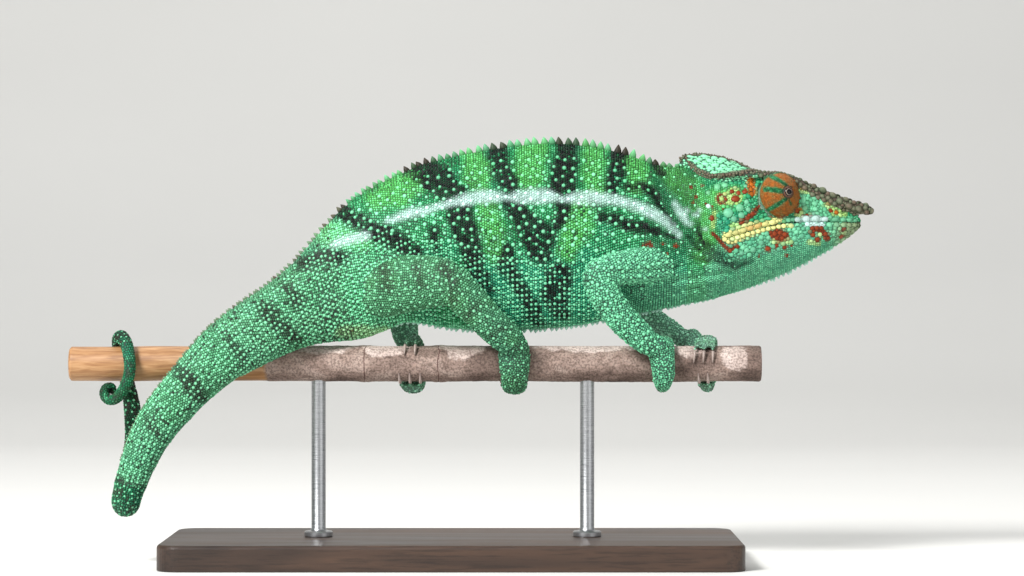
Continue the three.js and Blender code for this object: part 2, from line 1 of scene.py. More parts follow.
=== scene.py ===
import math

import bmesh
import bpy
import numpy as np
from mathutils import Matrix, Vector
from mathutils.bvhtree import BVHTree


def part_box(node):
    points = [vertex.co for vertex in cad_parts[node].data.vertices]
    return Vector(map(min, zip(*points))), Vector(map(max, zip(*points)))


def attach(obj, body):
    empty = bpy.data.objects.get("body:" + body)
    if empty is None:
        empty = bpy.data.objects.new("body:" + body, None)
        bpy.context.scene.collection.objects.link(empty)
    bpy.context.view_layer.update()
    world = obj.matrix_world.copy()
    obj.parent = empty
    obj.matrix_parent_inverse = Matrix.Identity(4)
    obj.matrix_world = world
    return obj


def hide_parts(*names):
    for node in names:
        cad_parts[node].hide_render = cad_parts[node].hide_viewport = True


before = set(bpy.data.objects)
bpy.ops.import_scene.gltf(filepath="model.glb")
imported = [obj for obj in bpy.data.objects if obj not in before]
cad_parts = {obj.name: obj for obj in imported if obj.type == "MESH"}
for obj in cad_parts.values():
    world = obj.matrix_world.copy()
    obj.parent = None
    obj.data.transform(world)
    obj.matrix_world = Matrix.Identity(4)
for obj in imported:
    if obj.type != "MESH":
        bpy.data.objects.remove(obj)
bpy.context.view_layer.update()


# ================================================================ The studio
# A sweep of pale paper that runs under the stand and curves up behind it, wide soft lamps, and
# the camera level with the animal's flank, as for a portrait of its right side.

MM = 0.001


def linear(red, green, blue):
    """A colour given as it looks on a screen, from 0 to 255, as the shaders take it."""
    channels = [c / 255 for c in (red, green, blue)]
    return (*[c / 12.92 if c < 0.04045 else ((c + 0.055) / 1.055) ** 2.4 for c in channels], 1)


def in_scene(name, data):
    """A new object that shows some data, put in the scene."""
    made = bpy.data.objects.new(name, data)
    bpy.context.scene.collection.objects.link(made)
    return made


def mesh_object(name, corners, faces):
    """An object from corners in millimetres."""
    mesh = bpy.data.meshes.new(name)
    mesh.from_pydata(np.asarray(corners, dtype=float) * MM, [], faces)
    return in_scene(name, mesh)


def smooth_shaded(made):
    made.data.polygons.foreach_set("use_smooth", [True] * len(made.data.polygons))
    return made


def material_with(name, roughness):
    """A new material, its node tree, and its Principled shader."""
    made = bpy.data.materials.new(name)
    made.use_nodes = True
    shader = made.node_tree.nodes["Principled BSDF"]
    shader.inputs["Roughness"].default_value = roughness
    return made, made.node_tree, shader


def node(tree, kind, links=None, **settings):
    """Adds a node. links maps its input sockets to values or to other nodes' outputs."""
    made = tree.nodes.new(kind)
    for key, value in settings.items():
        setattr(made, key, value)
    for key, value in (links or {}).items():
        if isinstance(value, bpy.types.NodeSocket):
            tree.links.new(value, made.inputs[key])
        else:
            made.inputs[key].default_value = value
    return made


def ramp(tree, factor, stops):
    """A colour ramp over a factor. stops holds (place, colour)."""
    made = node(tree, "ShaderNodeValToRGB", {"Fac": factor})
    elements = made.color_ramp.elements
    for place, colour in stops[2:]:
        elements.new(place)
    for element, (place, colour) in zip(elements, sorted(stops, key=lambda stop: stop[0])):
        element.position = place
        element.color = colour
    return made.outputs["Color"]


def blended(tree, factor, first, second, kind="MIX"):
    """A colour between two, or one laid over the other."""
    links = {0: factor, 6: first, 7: second}
    return node(tree, "ShaderNodeMix", links, data_type="RGBA", blend_type=kind).outputs[2]


def bumped(tree, shader, height, strength, distance):
    """Feeds a height to a shader's normal. distance is in metres."""
    bump = node(tree, "ShaderNodeBump", {"Strength": strength, "Distance": distance})
    tree.links.new(height, bump.inputs["Height"])
    tree.links.new(bump.outputs["Normal"], shader.inputs["Normal"])


paper_depth = [(-3000, 0), (900, 0), (1150, 25), (1340, 110), (1450, 260), (1500, 450), (1500, 3000)]
paper_corners = [(x, y, z) for y, z in paper_depth for x in (-3500, 3500)]
paper_faces = [(2 * i, 2 * i + 1, 2 * i + 3, 2 * i + 2) for i in range(len(paper_depth) - 1)]
paper = smooth_shaded(mesh_object("studio_sweep", paper_corners, paper_faces))
paper_stuff, paper_tree, paper_shader = material_with("studio_paper", 0.9)
grain = node(paper_tree, "ShaderNodeTexNoise", {"Scale": 9.0, "Detail": 4.0})
paper_tree.links.new(
    ramp(paper_tree, grain.outputs["Fac"], [(0.3, linear(222, 221, 217)), (0.7, linear(228, 227, 223))]),
    paper_shader.inputs["Base Color"],
)
paper.data.materials.append(paper_stuff)

camera_data = bpy.data.cameras.new("portrait_camera")
camera_data.sensor_width = 36
camera_data.lens = 120.5
camera = in_scene("portrait_camera", camera_data)
camera.location = (20.7 * MM, -1200 * MM, 96 * MM)
camera.rotation_euler = (math.pi / 2, 0, 0)
bpy.context.scene.camera = camera

for name, place, aim, size, watts in (
    ("key_lamp", (-0.62, -0.85, 0.85), (-0.02, 0, 0.09), 0.34, 25),
    ("fill_lamp", (0.95, -0.9, 0.35), (0.05, 0, 0.1), 0.9, 2.6),
    ("top_lamp", (0.1, 0.45, 1.1), (0, 0, 0.1), 0.7, 6),
):
    lamp_data = bpy.data.lights.new(name, "AREA")
    lamp_data.size = size
    lamp_data.energy = watts
    lamp = in_scene(name, lamp_data)
    lamp.location = place
    lamp.rotation_euler = (Vector(aim) - Vector(place)).to_track_quat("-Z", "Y").to_euler()

world = bpy.data.worlds.new("studio_air")
world.use_nodes = True
air = world.node_tree.nodes["Background"].inputs
air["Color"].default_value = (0.95, 0.97, 1.0, 1)
air["Strength"].default_value = 0.42
bpy.context.scene.world = world
bpy.context.scene.view_settings.view_transform = "Standard"


# ================================================================ The display stand
# A board of dark stained timber with eased edges, and two brushed steel rods, each let into the
# board through a turned collar and screwed up into the branch from below.


def corner_points(low, high, radius, z, steps=10):
    """A rectangle with round corners, as a ring of points at one height."""
    ring = []
    for side_x, side_y, start in ((1, 1, 0), (-1, 1, 90), (-1, -1, 180), (1, -1, 270)):
        centre_x = high[0] - radius if side_x > 0 else low[0] + radius
        centre_y = high[1] - radius if side_y > 0 else low[1] + radius
        for i in range(steps + 1):
            angle = math.radians(start + 90 * i / steps)
            place = (centre_x + radius * math.cos(angle), centre_y + radius * math.sin(angle), z)
            ring.append(place)
    return ring


def band_faces(rows, sides, closed=False):
    """Faces between rings of equal count, and from the last ring to the first where closed."""
    faces = []
    for row in range(rows if closed else rows - 1):
        start, after = row * sides, (row + 1) % rows * sides
        for i in range(sides):
            j = (i + 1) % sides
            faces.append((start + i, start + j, after + j, after + i))
    return faces


def cap_faces(rows, sides):
    """The flat faces that close the first and the last ring."""
    return [tuple(reversed(range(sides))), tuple(range((rows - 1) * sides, rows * sides))]


def skinned_rings(name, rings):
    """A closed mesh through rings of equal count, with flat caps."""
    rows, sides = len(rings), len(rings[0])
    corners = [p for ring in rings for p in ring]
    return mesh_object(name, corners, band_faces(rows, sides) + cap_faces(rows, sides))


def box_in_mm(name):
    low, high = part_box(name)
    return Vector(low) / MM, Vector(high) / MM


def grey(value):
    return (value, value, value, 1)


def object_place(tree):
    """The place of a point of the surface, in the object's own coordinates."""
    return node(tree, "ShaderNodeTexCoord").outputs["Object"]


def stretched_noise(tree, stretch, size=1.0, detail=3.0, distortion=0.0):
    """Noise over a surface, stretched by a scale for each axis, in lumps per metre."""
    placed = node(tree, "ShaderNodeMapping", {"Vector": object_place(tree), "Scale": stretch})
    links = {"Vector": placed.outputs["Vector"], "Scale": size, "Detail": detail, "Distortion": distortion}
    return node(tree, "ShaderNodeTexNoise", links).outputs["Fac"]


board_low, board_high = box_in_mm("stand_base")
edge = 1.2
board_rings = []
for inset, z in (
    (edge * 0.3, board_low.z),
    (0, board_low.z + edge * 0.3),
    (0, board_high.z - edge),
    (edge * 0.12, board_high.z - edge * 0.5),
    (edge * 0.45, board_high.z - edge * 0.13),
    (edge, board_high.z),
):
    low = (board_low.x + inset, board_low.y + inset)
    high = (board_high.x - inset, board_high.y - inset)
    board_rings.append(corner_points(low, high, 8 - inset, z))
board = skinned_rings("stand_board", board_rings)

timber, timber_tree, timber_shader = material_with("stained_timber", 0.42)
figure = stretched_noise(timber_tree, (6, 60, 60), 1.0, 6.0, 1.6)
pores = stretched_noise(timber_tree, (90, 1400, 1400))
timber_stops = [(0.3, linear(38, 27, 21)), (0.5, linear(58, 41, 31)), (0.7, linear(80, 57, 42))]
pore_shade = ramp(timber_tree, pores, [(0.36, grey(0.55)), (0.5, grey(1))])
timber_colour = blended(timber_tree, 0.8, ramp(timber_tree, figure, timber_stops), pore_shade, "MULTIPLY")
timber_tree.links.new(timber_colour, timber_shader.inputs["Base Color"])
timber_sheen = ramp(timber_tree, figure, [(0.3, grey(0.36)), (0.7, grey(0.5))])
timber_tree.links.new(timber_sheen, timber_shader.inputs["Roughness"])
bumped(timber_tree, timber_shader, pores, 0.25, 0.0002)
board.data.materials.append(timber)
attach(board, "root")
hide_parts("stand_base")

steel, steel_tree, steel_shader = material_with("brushed_steel", 0.34)
steel_shader.inputs["Metallic"].default_value = 1.0
brush = stretched_noise(steel_tree, (300, 300, 16000))
steel_colour = ramp(steel_tree, brush, [(0.3, linear(150, 152, 154)), (0.7, linear(196, 197, 198))])
steel_tree.links.new(steel_colour, steel_shader.inputs["Base Color"])
steel_sheen = ramp(steel_tree, brush, [(0.3, grey(0.24)), (0.7, grey(0.42))])
steel_tree.links.new(steel_sheen, steel_shader.inputs["Roughness"])
bumped(steel_tree, steel_shader, brush, 0.12, 0.0001)

for number in (1, 2):
    low, high = box_in_mm(f"stand_rod_{number}")
    radius = (high.x - low.x) / 2
    centre_x = (high.x + low.x) / 2
    top = high.z + 0.4
    rod_rings = []
    for share, z in (
        (1.9, board_high.z),
        (2.0, board_high.z + 0.3),
        (2.0, board_high.z + 1.6),
        (1.85, board_high.z + 2.0),
        (1.15, board_high.z + 2.3),
        (1.0, board_high.z + 3.0),
        (1.0, top),
    ):
        angles = [2 * math.pi * i / 40 for i in range(40)]
        rod_rings.append(
            [(centre_x + radius * share * math.cos(a), radius * share * math.sin(a), z) for a in angles]
        )
    rod = smooth_shaded(skinned_rings(f"stand_post_{number}", rod_rings))
    rod.data.set_sharp_from_angle(angle=math.radians(35))
    rod.data.materials.append(steel)
    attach(rod, "root")
    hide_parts(f"stand_rod_{number}")


# ================================================================ The branch
# A cut length of a thin living branch. Its bark is grey-brown, cracked fine and patched paler,
# with dark scars where leaves grew, and it is peeled to smooth tan wood towards the tail.


def ripple(places, size, seed):
    """Smooth noise from -1 to 1 at places in millimetres, with lumps about as big as size."""
    cells = np.asarray(places, dtype=float) / size
    low = np.floor(cells).astype(np.int64)
    part = cells - low
    part = part * part * (3 - 2 * part)
    total = np.zeros(len(cells))
    for corner in np.ndindex(2, 2, 2):
        cell = low + np.array(corner)
        mixed = cell @ np.array([374761393, 668265263, 1274126177]) + seed * 97531
        mixed = (mixed ^ (mixed >> 13)) * 1103515245
        value = ((mixed ^ (mixed >> 16)) & 0xFFFF) / 32767.5 - 1
        weight = np.prod(np.where(corner, part, 1 - part), axis=1)
        total += value * weight
    return total


def give(mesh, name, kind, values):
    """Stores values for each point of a mesh."""
    layer = mesh.attributes.new(name, kind, "POINT")
    key = {"FLOAT": "value", "FLOAT_VECTOR": "vector", "FLOAT_COLOR": "color"}[kind]
    layer.data.foreach_set(key, np.ascontiguousarray(values, dtype=np.float32).ravel())


def bell(distance, width):
    """A smooth bump, 1 at no distance and gone within about two widths."""
    return np.exp(-((distance / width) ** 2))


def point_value(tree, name):
    """A number that is stored for each point of the mesh."""
    return node(tree, "ShaderNodeAttribute", attribute_name=name).outputs["Fac"]


branch_low, branch_high = box_in_mm("perch")
branch_z = 69.5
branch_radius = 6.15
leaf_scars = (-30.5, -4.8)
peel_edge = -65.0
branch_sides = 88
xs = np.arange(branch_low.x, branch_high.x + 0.01, 0.6)
angles = np.arange(branch_sides) * 2 * math.pi / branch_sides
ring_x, ring_a = np.meshgrid(xs, angles, indexing="ij")
ring_x, ring_a = ring_x.ravel(), ring_a.ravel()
stem = np.stack([ring_x * 0.35, 6 * np.cos(ring_a), 6 * np.sin(ring_a)], axis=1)
across = np.stack([ring_x, 6 * np.cos(ring_a), 6 * np.sin(ring_a)], axis=1)
barked = np.clip((ring_x - peel_edge + 2.5 * ripple(across, 3.0, 4)) / 1.2, 0, 1)
girth = branch_radius + 0.16 * ripple(stem, 7, 1) + 0.08 * ripple(stem, 2.2, 2)
girth += barked * (0.1 + 0.09 * ripple(across, 0.9, 3)) - (1 - barked) * 0.12
for scar in leaf_scars:
    girth += 0.3 * bell(ring_x - scar, 2.2)
    girth -= 0.2 * bell(ring_x - scar - 0.25 * ripple(across, 4, 5), 0.3)
# Pale patches of bark, most of them along the top of the branch, where the paleness is partly painted light:
# x, half length, turn round the branch, half turn.
pale_patches = (
    (-44, 12, 1.8, 0.8), (-24, 9, 1.9, 0.95), (3.5, 8.5, 2.0, 0.9), (47, 20, 1.75, 0.7), (83, 6, 2.0, 0.9),
    (-12, 14, 0.3, 1.2), (30, 11, -0.6, 0.8), (66, 14, 0.6, 0.7), (98, 5, 2.6, 0.9), (-52, 7, -1.0, 0.9),
)
pale_bark_and_top_light = np.zeros(len(ring_x))
for mid_x, half_x, mid_a, half_a in pale_patches:
    turned = (ring_a - mid_a + math.pi) % (2 * math.pi) - math.pi
    inside = 1 - ((ring_x - mid_x) / half_x) ** 2 - (turned / half_a) ** 2
    inside += 0.45 * ripple(across, 3.5, 6) + 0.3 * ripple(across, 1.1, 7)
    pale_bark_and_top_light = np.maximum(pale_bark_and_top_light, np.clip(3.5 * inside, 0, 1))
ends = np.minimum(ring_x - branch_low.x, branch_high.x - ring_x)
girth -= 0.7 * np.clip(1 - ends / 0.7, 0, 1) ** 2
branch_corners = np.stack(
    [ring_x, girth * np.cos(ring_a), branch_z + girth * np.sin(ring_a)], axis=1
).reshape(len(xs), branch_sides, 3)
branch = smooth_shaded(skinned_rings("branch", branch_corners.tolist()))
branch.data.set_sharp_from_angle(angle=math.radians(50))

bark, bark_tree, bark_shader = material_with("bark", 0.85)
split = node(bark_tree, "ShaderNodeSeparateXYZ", {"Vector": object_place(bark_tree)})
blotches = stretched_noise(bark_tree, (1, 1.6, 1.6), 60, 3.0, 0.6)
fibres = stretched_noise(bark_tree, (1, 4, 4), 260, 5.0)
flecks = stretched_noise(bark_tree, (1, 1, 1), 1500, 4.0)
bark_stops = [
    (0.34, linear(96, 78, 70)),
    (0.47, linear(124, 104, 95)),
    (0.56, linear(144, 123, 113)),
    (0.66, linear(166, 146, 136)),
]
bark_colour = ramp(bark_tree, blotches, bark_stops)
# The pale patches are mixed in: pale bark, and along the top of the branch partly painted light.
pale = point_value(bark_tree, "pale_bark_and_top_light")
pale_stops = [(0.3, linear(166, 146, 138)), (0.6, linear(204, 186, 178))]
bark_colour = blended(bark_tree, pale, bark_colour, ramp(bark_tree, blotches, pale_stops))
crack_stops = [(0.36, (0.5, 0.47, 0.45, 1)), (0.47, (1, 1, 1, 1)), (0.75, (1.12, 1.1, 1.08, 1))]
bark_colour = blended(bark_tree, 0.45, bark_colour, ramp(bark_tree, fibres, crack_stops), "MULTIPLY")
fleck_stops = [(0.4, (0.5, 0.47, 0.45, 1)), (0.52, (1, 1, 1, 1)), (0.7, (1.25, 1.22, 1.2, 1))]
bark_colour = blended(bark_tree, 0.85, bark_colour, ramp(bark_tree, flecks, fleck_stops), "MULTIPLY")
wobble = node(bark_tree, "ShaderNodeMath", {0: blotches, 1: 0.003, 2: -0.0015}, operation="MULTIPLY_ADD")
along = node(bark_tree, "ShaderNodeMath", {0: split.outputs["X"], 1: wobble.outputs[0]}, operation="ADD")
for scar in leaf_scars:
    from_scar = node(
        bark_tree, "ShaderNodeMath", {0: along.outputs[0], 1: scar * MM, 2: 0.00014}, operation="COMPARE"
    )
    bark_colour = blended(bark_tree, from_scar.outputs[0], bark_colour, linear(74, 44, 40))
wood_colour = ramp(
    bark_tree,
    stretched_noise(bark_tree, (1, 9, 9), 120, 4.0, 0.4),
    [(0.3, linear(132, 90, 54)), (0.5, linear(160, 116, 74)), (0.7, linear(180, 138, 96))],
)
is_bark = node(
    bark_tree,
    "ShaderNodeMapRange",
    {"Value": along.outputs[0], "From Min": (peel_edge - 0.6) * MM, "From Max": (peel_edge + 0.6) * MM},
)
bark_tree.links.new(
    blended(bark_tree, is_bark.outputs[0], wood_colour, bark_colour), bark_shader.inputs["Base Color"]
)
rough_ends = node(
    bark_tree,
    "ShaderNodeMapRange",
    {"Value": is_bark.outputs[0], "To Min": 0.5, "To Max": 0.85},
)
bark_tree.links.new(rough_ends.outputs[0], bark_shader.inputs["Roughness"])
crackle = node(bark_tree, "ShaderNodeMath", {0: fibres, 1: flecks}, operation="ADD")
deep = node(bark_tree, "ShaderNodeMapRange", {"Value": is_bark.outputs[0], "To Min": 0.15, "To Max": 1})
relief = node(bark_tree, "ShaderNodeMath", {0: crackle.outputs[0], 1: deep.outputs[0]}, operation="MULTIPLY")
bumped(bark_tree, bark_shader, relief.outputs[0], 0.6, 0.0004)
give(branch.data, "pale_bark_and_top_light", "FLOAT", pale_bark_and_top_light)
branch.data.materials.append(bark)
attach(branch, "root")
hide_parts("perch")


# ================================================================ The skin
# One seamless skin over the whole animal, cast in soft resin over the carved form. It is drawn
# in a little below the carved surface, to leave the scales their depth, and is modelled with
# the mouth, the rims of the eye turrets, and the loose folds of the neck and throat.


def is_flesh(name):
    return not (name == "perch" or name.startswith(("stand_", "eye_right", "eye_left")) or "claw" in name)


def points_of(mesh):
    """A mesh's corners in millimetres."""
    flat = np.empty(len(mesh.vertices) * 3)
    mesh.vertices.foreach_get("co", flat)
    return flat.reshape(-1, 3) / MM


def normals_of(mesh):
    flat = np.empty(len(mesh.vertices) * 3)
    mesh.vertex_normals.foreach_get("vector", flat)
    return flat.reshape(-1, 3)


def move_points(mesh, places):
    mesh.vertices.foreach_set("co", (places * MM).ravel())
    mesh.update()


def finished_mesh(rough, name, kinds):
    """The mesh that modifiers make of an object, as a plain object. kinds holds (type, settings)."""
    for kind, settings in kinds:
        modifier = rough.modifiers.new(kind, kind)
        for key, value in settings.items():
            setattr(modifier, key, value)
    graph = bpy.context.evaluated_depsgraph_get()
    mesh = bpy.data.meshes.new_from_object(rough.evaluated_get(graph), depsgraph=graph)
    bpy.data.objects.remove(rough)
    return in_scene(name, mesh)


def object_of(form, name):
    """Turns a form into an object of the scene, and frees it."""
    mesh = bpy.data.meshes.new(name)
    form.to_mesh(mesh)
    form.free()
    return in_scene(name, mesh)


def rounded_copy(name, swelling):
    """A node's solid with its flats rounded out and its cut ends kept flat, swollen by some mm."""
    form = bmesh.new()
    form.from_mesh(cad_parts[name].data)
    bmesh.ops.remove_doubles(form, verts=form.verts, dist=2e-6)
    limits = {"angle_face_threshold": 0.5, "angle_shape_threshold": 0.9}
    bmesh.ops.join_triangles(form, faces=form.faces, **limits)
    crease = form.edges.layers.float.new("crease_edge")
    for edge in form.edges:
        if len(edge.link_faces) == 2 and edge.calc_face_angle() > math.radians(62):
            edge[crease] = 1.0
    rough = object_of(form, name + "_rounded")
    made = finished_mesh(rough, name + "_smooth", [("SUBSURF", {"levels": 2, "render_levels": 2})])
    places = points_of(made.data) + swelling * normals_of(made.data)
    if name == "trunk":
        places[:, 2] = np.minimum(places[:, 2], back_height(places[:, 0]) + swelling)
    move_points(made.data, places)
    return made


def joined_copies(names, swelling):
    """The rounded copies of some nodes, joined in one form."""
    form = bmesh.new()
    for name in names:
        part = rounded_copy(name, swelling)
        form.from_mesh(part.data)
        bpy.data.objects.remove(part)
    return form


# Places down the middle of the back and of the belly, from snout to tail, as x, z of the back,
# x, z of the belly, and how far the middle plane there has swung to the animal's left.
body_line = np.array([
    (143, 120, 142.9, 117.8, 0), (138, 123.6, 138, 113, 0), (132, 127.2, 132, 109, 0),
    (124, 131.6, 124, 104.3, 0), (115, 135.4, 115, 99.9, 0), (106, 135.9, 106, 96.1, 0),
    (97, 136, 98, 93.2, 0), (84, 139.2, 89, 90.8, 0), (77, 138.9, 80, 89.2, 0),
    (69, 140.4, 66, 86.3, 0), (60, 143.6, 58, 84.6, 0), (48, 146.2, 48, 82.6, 0),
    (34, 147.3, 34, 80.8, 0), (19, 146, 20, 80.1, 0), (4, 143.4, 6, 80.2, 0),
    (-11, 139.8, -8, 82, 0), (-24, 134, -17, 83.8, 0), (-35, 127.6, -24.5, 79.3, 0),
    (-43.5, 120, -33.5, 77.1, -1), (-51, 110.6, -42, 76.6, -3.5), (-59, 101.8, -51, 75.2, -7),
    (-67.5, 95.3, -58.5, 72.2, -10.5), (-77.5, 88.8, -66, 68.4, -13.8),
    (-87.3, 80, -74, 64.4, -15.8), (-96, 69.3, -82.6, 58, -16.2), (-104.3, 59.4, -91.2, 49.4, -15.5),
    (-110.8, 49.2, -98, 41.4, -14.4), (-114.4, 39.2, -102.4, 34, -13.2),
    (-117.3, 29.6, -105.4, 27.2, -12),
])


def back_height(x):
    return np.interp(x, body_line[::-1, 0], body_line[::-1, 1])


coat_depth = 0.42
# Balls of resin that round out the bend of the tail, and carry each brow back to the casque.
fillers = [((-111.4, -12, 28.4), 6.3)]
for x in np.arange(102.5, 112.6, 0.8):
    for hand in (1, -1):
        fillers.append(((x, hand * (8.1 - 0.11 * (x - 102.5)), 135.6), 1.5))
flesh = sorted(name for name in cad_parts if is_flesh(name))
body_form = joined_copies(flesh, 0.3)
for place, radius in fillers:
    ball = bmesh.new()
    at = Matrix.Translation(Vector(place) * MM)
    bmesh.ops.create_uvsphere(ball, u_segments=48, v_segments=30, radius=radius * MM, matrix=at)
    ball_mesh = bpy.data.meshes.new("filler")
    ball.to_mesh(ball_mesh)
    ball.free()
    body_form.from_mesh(ball_mesh)
body_rough = object_of(body_form, "body_rough")
skin = finished_mesh(body_rough, "skin", [("REMESH", {"mode": "VOXEL", "voxel_size": 0.5 * MM})])
px, py, pz = points_of(skin.data).T
worn = (np.abs(pz - 28) < 5) & (px < -100) & (py < -4)
worn |= (np.abs(pz - back_height(px)) < 1.6) & (np.abs(py) < 3.5) & (px > -48) & (px < 78)
skin.vertex_groups.new(name="worn").add(np.flatnonzero(worn).tolist(), 1.0, "REPLACE")
skin = finished_mesh(
    skin,
    "skin",
    [
        ("SMOOTH", {"factor": 0.5, "iterations": 45, "vertex_group": "worn"}),
        ("SMOOTH", {"factor": 0.5, "iterations": 9}),
    ],
)


def span(value, low, high):
    """How far a value has come from low to high, eased, from 0 to 1."""
    share = np.clip((value - low) / (high - low), 0, 1)
    return share * share * (3 - 2 * share)


def stroke(x, z, line):
    """How deep points of the flank lie in a brush stroke, in mm, below 0 outside it.

    line holds (x, z, half width). The width changes evenly from one place to the next.
    """
    deepest = np.full(len(x), -1e3)
    if len(line) == 1:
        line = line * 2
    for (x0, z0, w0), (x1, z1, w1) in zip(line, line[1:]):
        run_x, run_z = x1 - x0, z1 - z0
        length = run_x**2 + run_z**2
        share = ((x - x0) * run_x + (z - z0) * run_z) / length if length else np.zeros(len(x))
        share = np.clip(share, 0, 1)
        gap = np.hypot(x - x0 - share * run_x, z - z0 - share * run_z)
        deepest = np.maximum(deepest, w0 + share * (w1 - w0) - gap)
    return deepest


def groove(x, z, line):
    """Distance in mm from a line of (x, z) on the flank."""
    return -stroke(x, z, [(px, pz, 0) for px, pz in line])


def along_axis(places, centre, axis):
    """How far places lie along an axis from a centre, and how far off it."""
    reach = places - centre
    depth = reach @ axis
    return depth, np.sqrt(np.maximum((reach**2).sum(axis=1) - depth**2, 0))


mouth_line = [(95.5, 113.4), (104, 116), (112, 118), (120, 118.9), (130, 119.3), (146, 118.7)]
turret_centres = {"right": np.array([112.9, -8.8, 128.4]), "left": np.array([112.9, 8.8, 128.4])}
gazes = {"right": np.array([0.43, -0.897, 0.1]), "left": np.array([0.43, 0.897, 0.1])}
neck_folds = [
    [(72, 132), (78, 121), (84, 112), (90, 107)],
    [(79, 131), (84, 123), (89, 116), (94, 111)],
    [(86, 118), (90, 111), (95, 106), (101, 103)],
    [(69, 131), (74, 123), (78.5, 115.5)],
]
throat_folds = [
    [(57, 101), (68, 101.5), (80, 103.5), (92, 105)],
    [(60, 97.5), (72, 98), (84, 99.5), (96, 101)],
    [(66, 93.5), (78, 94.5), (90, 96.5)],
]
nostril = (137, 122.6)

places = points_of(skin.data)
outward = normals_of(skin.data)
px, py, pz = places.T
lift = np.full(len(places), -0.3 - coat_depth)
lift += 0.45 * span(pz, 133.5, 135) * span(px, 77, 79) * span(-px, -109, -106)
lift += 0.10 * ripple(places, 5, 11) + 0.06 * ripple(places, 1.6, 12)
on_cheek = span(px, 93.5, 96) * span(np.abs(py), 0.8, 2.0)
from_mouth = groove(px, pz, mouth_line)
lift += on_cheek * (0.3 * bell(from_mouth - 1.5, 0.9) - 0.7 * bell(from_mouth, 0.45))
on_neck = span(np.abs(py), 5, 9)
for fold in neck_folds:
    near = groove(px, pz, fold)
    lift += on_neck * (0.35 * bell(near - 2.2, 1.3) - 0.85 * bell(near, 0.9))
for fold in throat_folds:
    near = groove(px, pz, fold)
    lift += on_neck * (0.25 * bell(near - 1.8, 1) - 0.5 * bell(near, 0.8))
lift -= 0.8 * bell(np.hypot(px - nostril[0], pz - nostril[1]), 0.75)
for side, centre in turret_centres.items():
    depth, round_axis = along_axis(places, centre, gazes[side])
    outer = span(depth, -6, -1.5) * (np.sign(py) == np.sign(centre[1]))
    below_brow = 1 - span(pz, 133.5, 135.5)
    lift -= 0.6 * below_brow * outer * bell(round_axis - 8.6, 0.6) * (depth < 4)
    lift += 0.35 * below_brow * outer * bell(round_axis - 10, 0.9) * (depth < 2)
move_points(skin.data, places + lift[:, None] * outward)
skin = finished_mesh(
    skin,
    "skin",
    [
        ("SMOOTH", {"factor": 0.4, "iterations": 2}),
        ("DECIMATE", {"ratio": 0.39, "use_collapse_triangulate": True}),
    ],
)
smooth_shaded(skin)


# ================================================================ The lie of the scales
# Scales are set by size, the large plates first and the fine granules last, so that each has
# its own room. Granules stand in rings round the body, tail and limbs, each ring half a scale
# out of step with the next, as they do in life.

rng = np.random.default_rng(7)
node_corners, node_faces, face_node = [], [], []
for number, name in enumerate(flesh):
    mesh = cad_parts[name].data
    start = len(node_corners)
    node_corners.extend(points_of(mesh).tolist())
    for face in mesh.polygons:
        node_faces.append([start + i for i in face.vertices])
        face_node.append(number)
node_tree = BVHTree.FromPolygons(node_corners, node_faces)

skin_points = points_of(skin.data)
skin_faces = np.empty(len(skin.data.polygons) * 3, dtype=np.int64)
skin.data.polygons.foreach_get("vertices", skin_faces)
skin_faces = skin_faces.reshape(-1, 3)
skin_tree = BVHTree.FromPolygons(skin_points.tolist(), skin_faces.tolist())
point_node = np.array([face_node[node_tree.find_nearest(p)[2]] for p in skin_points.tolist()])
face_part = [flesh[number] for number in point_node[skin_faces[:, 0]]]

# Each scale that is set: where, its outward and lengthwise directions, half sizes, part and shape.
scales = []
# Set scales are looked up by the cube, this many mm wide, that they are in.
cell = 2.6
held = {}


def has_room(place, reach, crowding):
    """Whether a scale of this reach clears its neighbours. crowding under 1 lets them overlap."""
    x, y, z = place
    home = (int(x // cell), int(y // cell), int(z // cell))
    for i in (home[0] - 1, home[0], home[0] + 1):
        for j in (home[1] - 1, home[1], home[1] + 1):
            for k in (home[2] - 1, home[2], home[2] + 1):
                for ox, oy, oz, held_reach in held.get((i, j, k), ()):
                    room = (reach + held_reach) * crowding
                    if (x - ox) ** 2 + (y - oy) ** 2 + (z - oz) ** 2 < room * room:
                        return False
    return True


def hold(place, reach):
    x, y, z = place
    held.setdefault((int(x // cell), int(y // cell), int(z // cell)), []).append((x, y, z, reach))


def set_scale(place, lengthwise, half, kind, crowding, parts=None, reach=None):
    """Sets one scale on the skin nearest a place, if it has room there. Returns whether it did.

    half holds its half length, half width and height in mm. A crowding of 0 needs no room.
    """
    spot, outward, face, _ = skin_tree.find_nearest(place)
    part = face_part[face]
    if parts is not None and not part.startswith(parts):
        return False
    reach = reach or (half[0] + half[1]) / 2
    if crowding and not has_room(spot, reach, crowding):
        return False
    hold(spot, reach)
    flat = lengthwise - outward * lengthwise.dot(outward)
    if flat.length < 1e-4:
        flat = outward.orthogonal()
    scales.append((spot, outward, flat.normalized(), half, part, kind))
    return True


def smooth_course(points):
    """A smooth course through points, as a line of many short steps."""
    points = np.asarray(points, dtype=float)
    padded = np.vstack([2 * points[0] - points[1], points, 2 * points[-1] - points[-2]])
    fine = []
    for i in range(len(points) - 1):
        a, b, c, d = padded[i:i + 4]
        for t in np.linspace(0, 1, 24, endpoint=False):
            fine.append(0.5 * (2 * b + (c - a) * t + (2 * a - 5 * b + 4 * c - d) * t * t
                               + (3 * b - a - 3 * c + d) * t**3))
    return np.array(fine + [points[-1]])


def lengths_along(line):
    """How far along a line each of its points is."""
    return np.r_[0, np.cumsum(np.linalg.norm(np.diff(line, axis=0), axis=1))]


def point_at(line, lengths, stop):
    """The point of a line that is this far along it."""
    return Vector([np.interp(stop, lengths, column) for column in line.T])


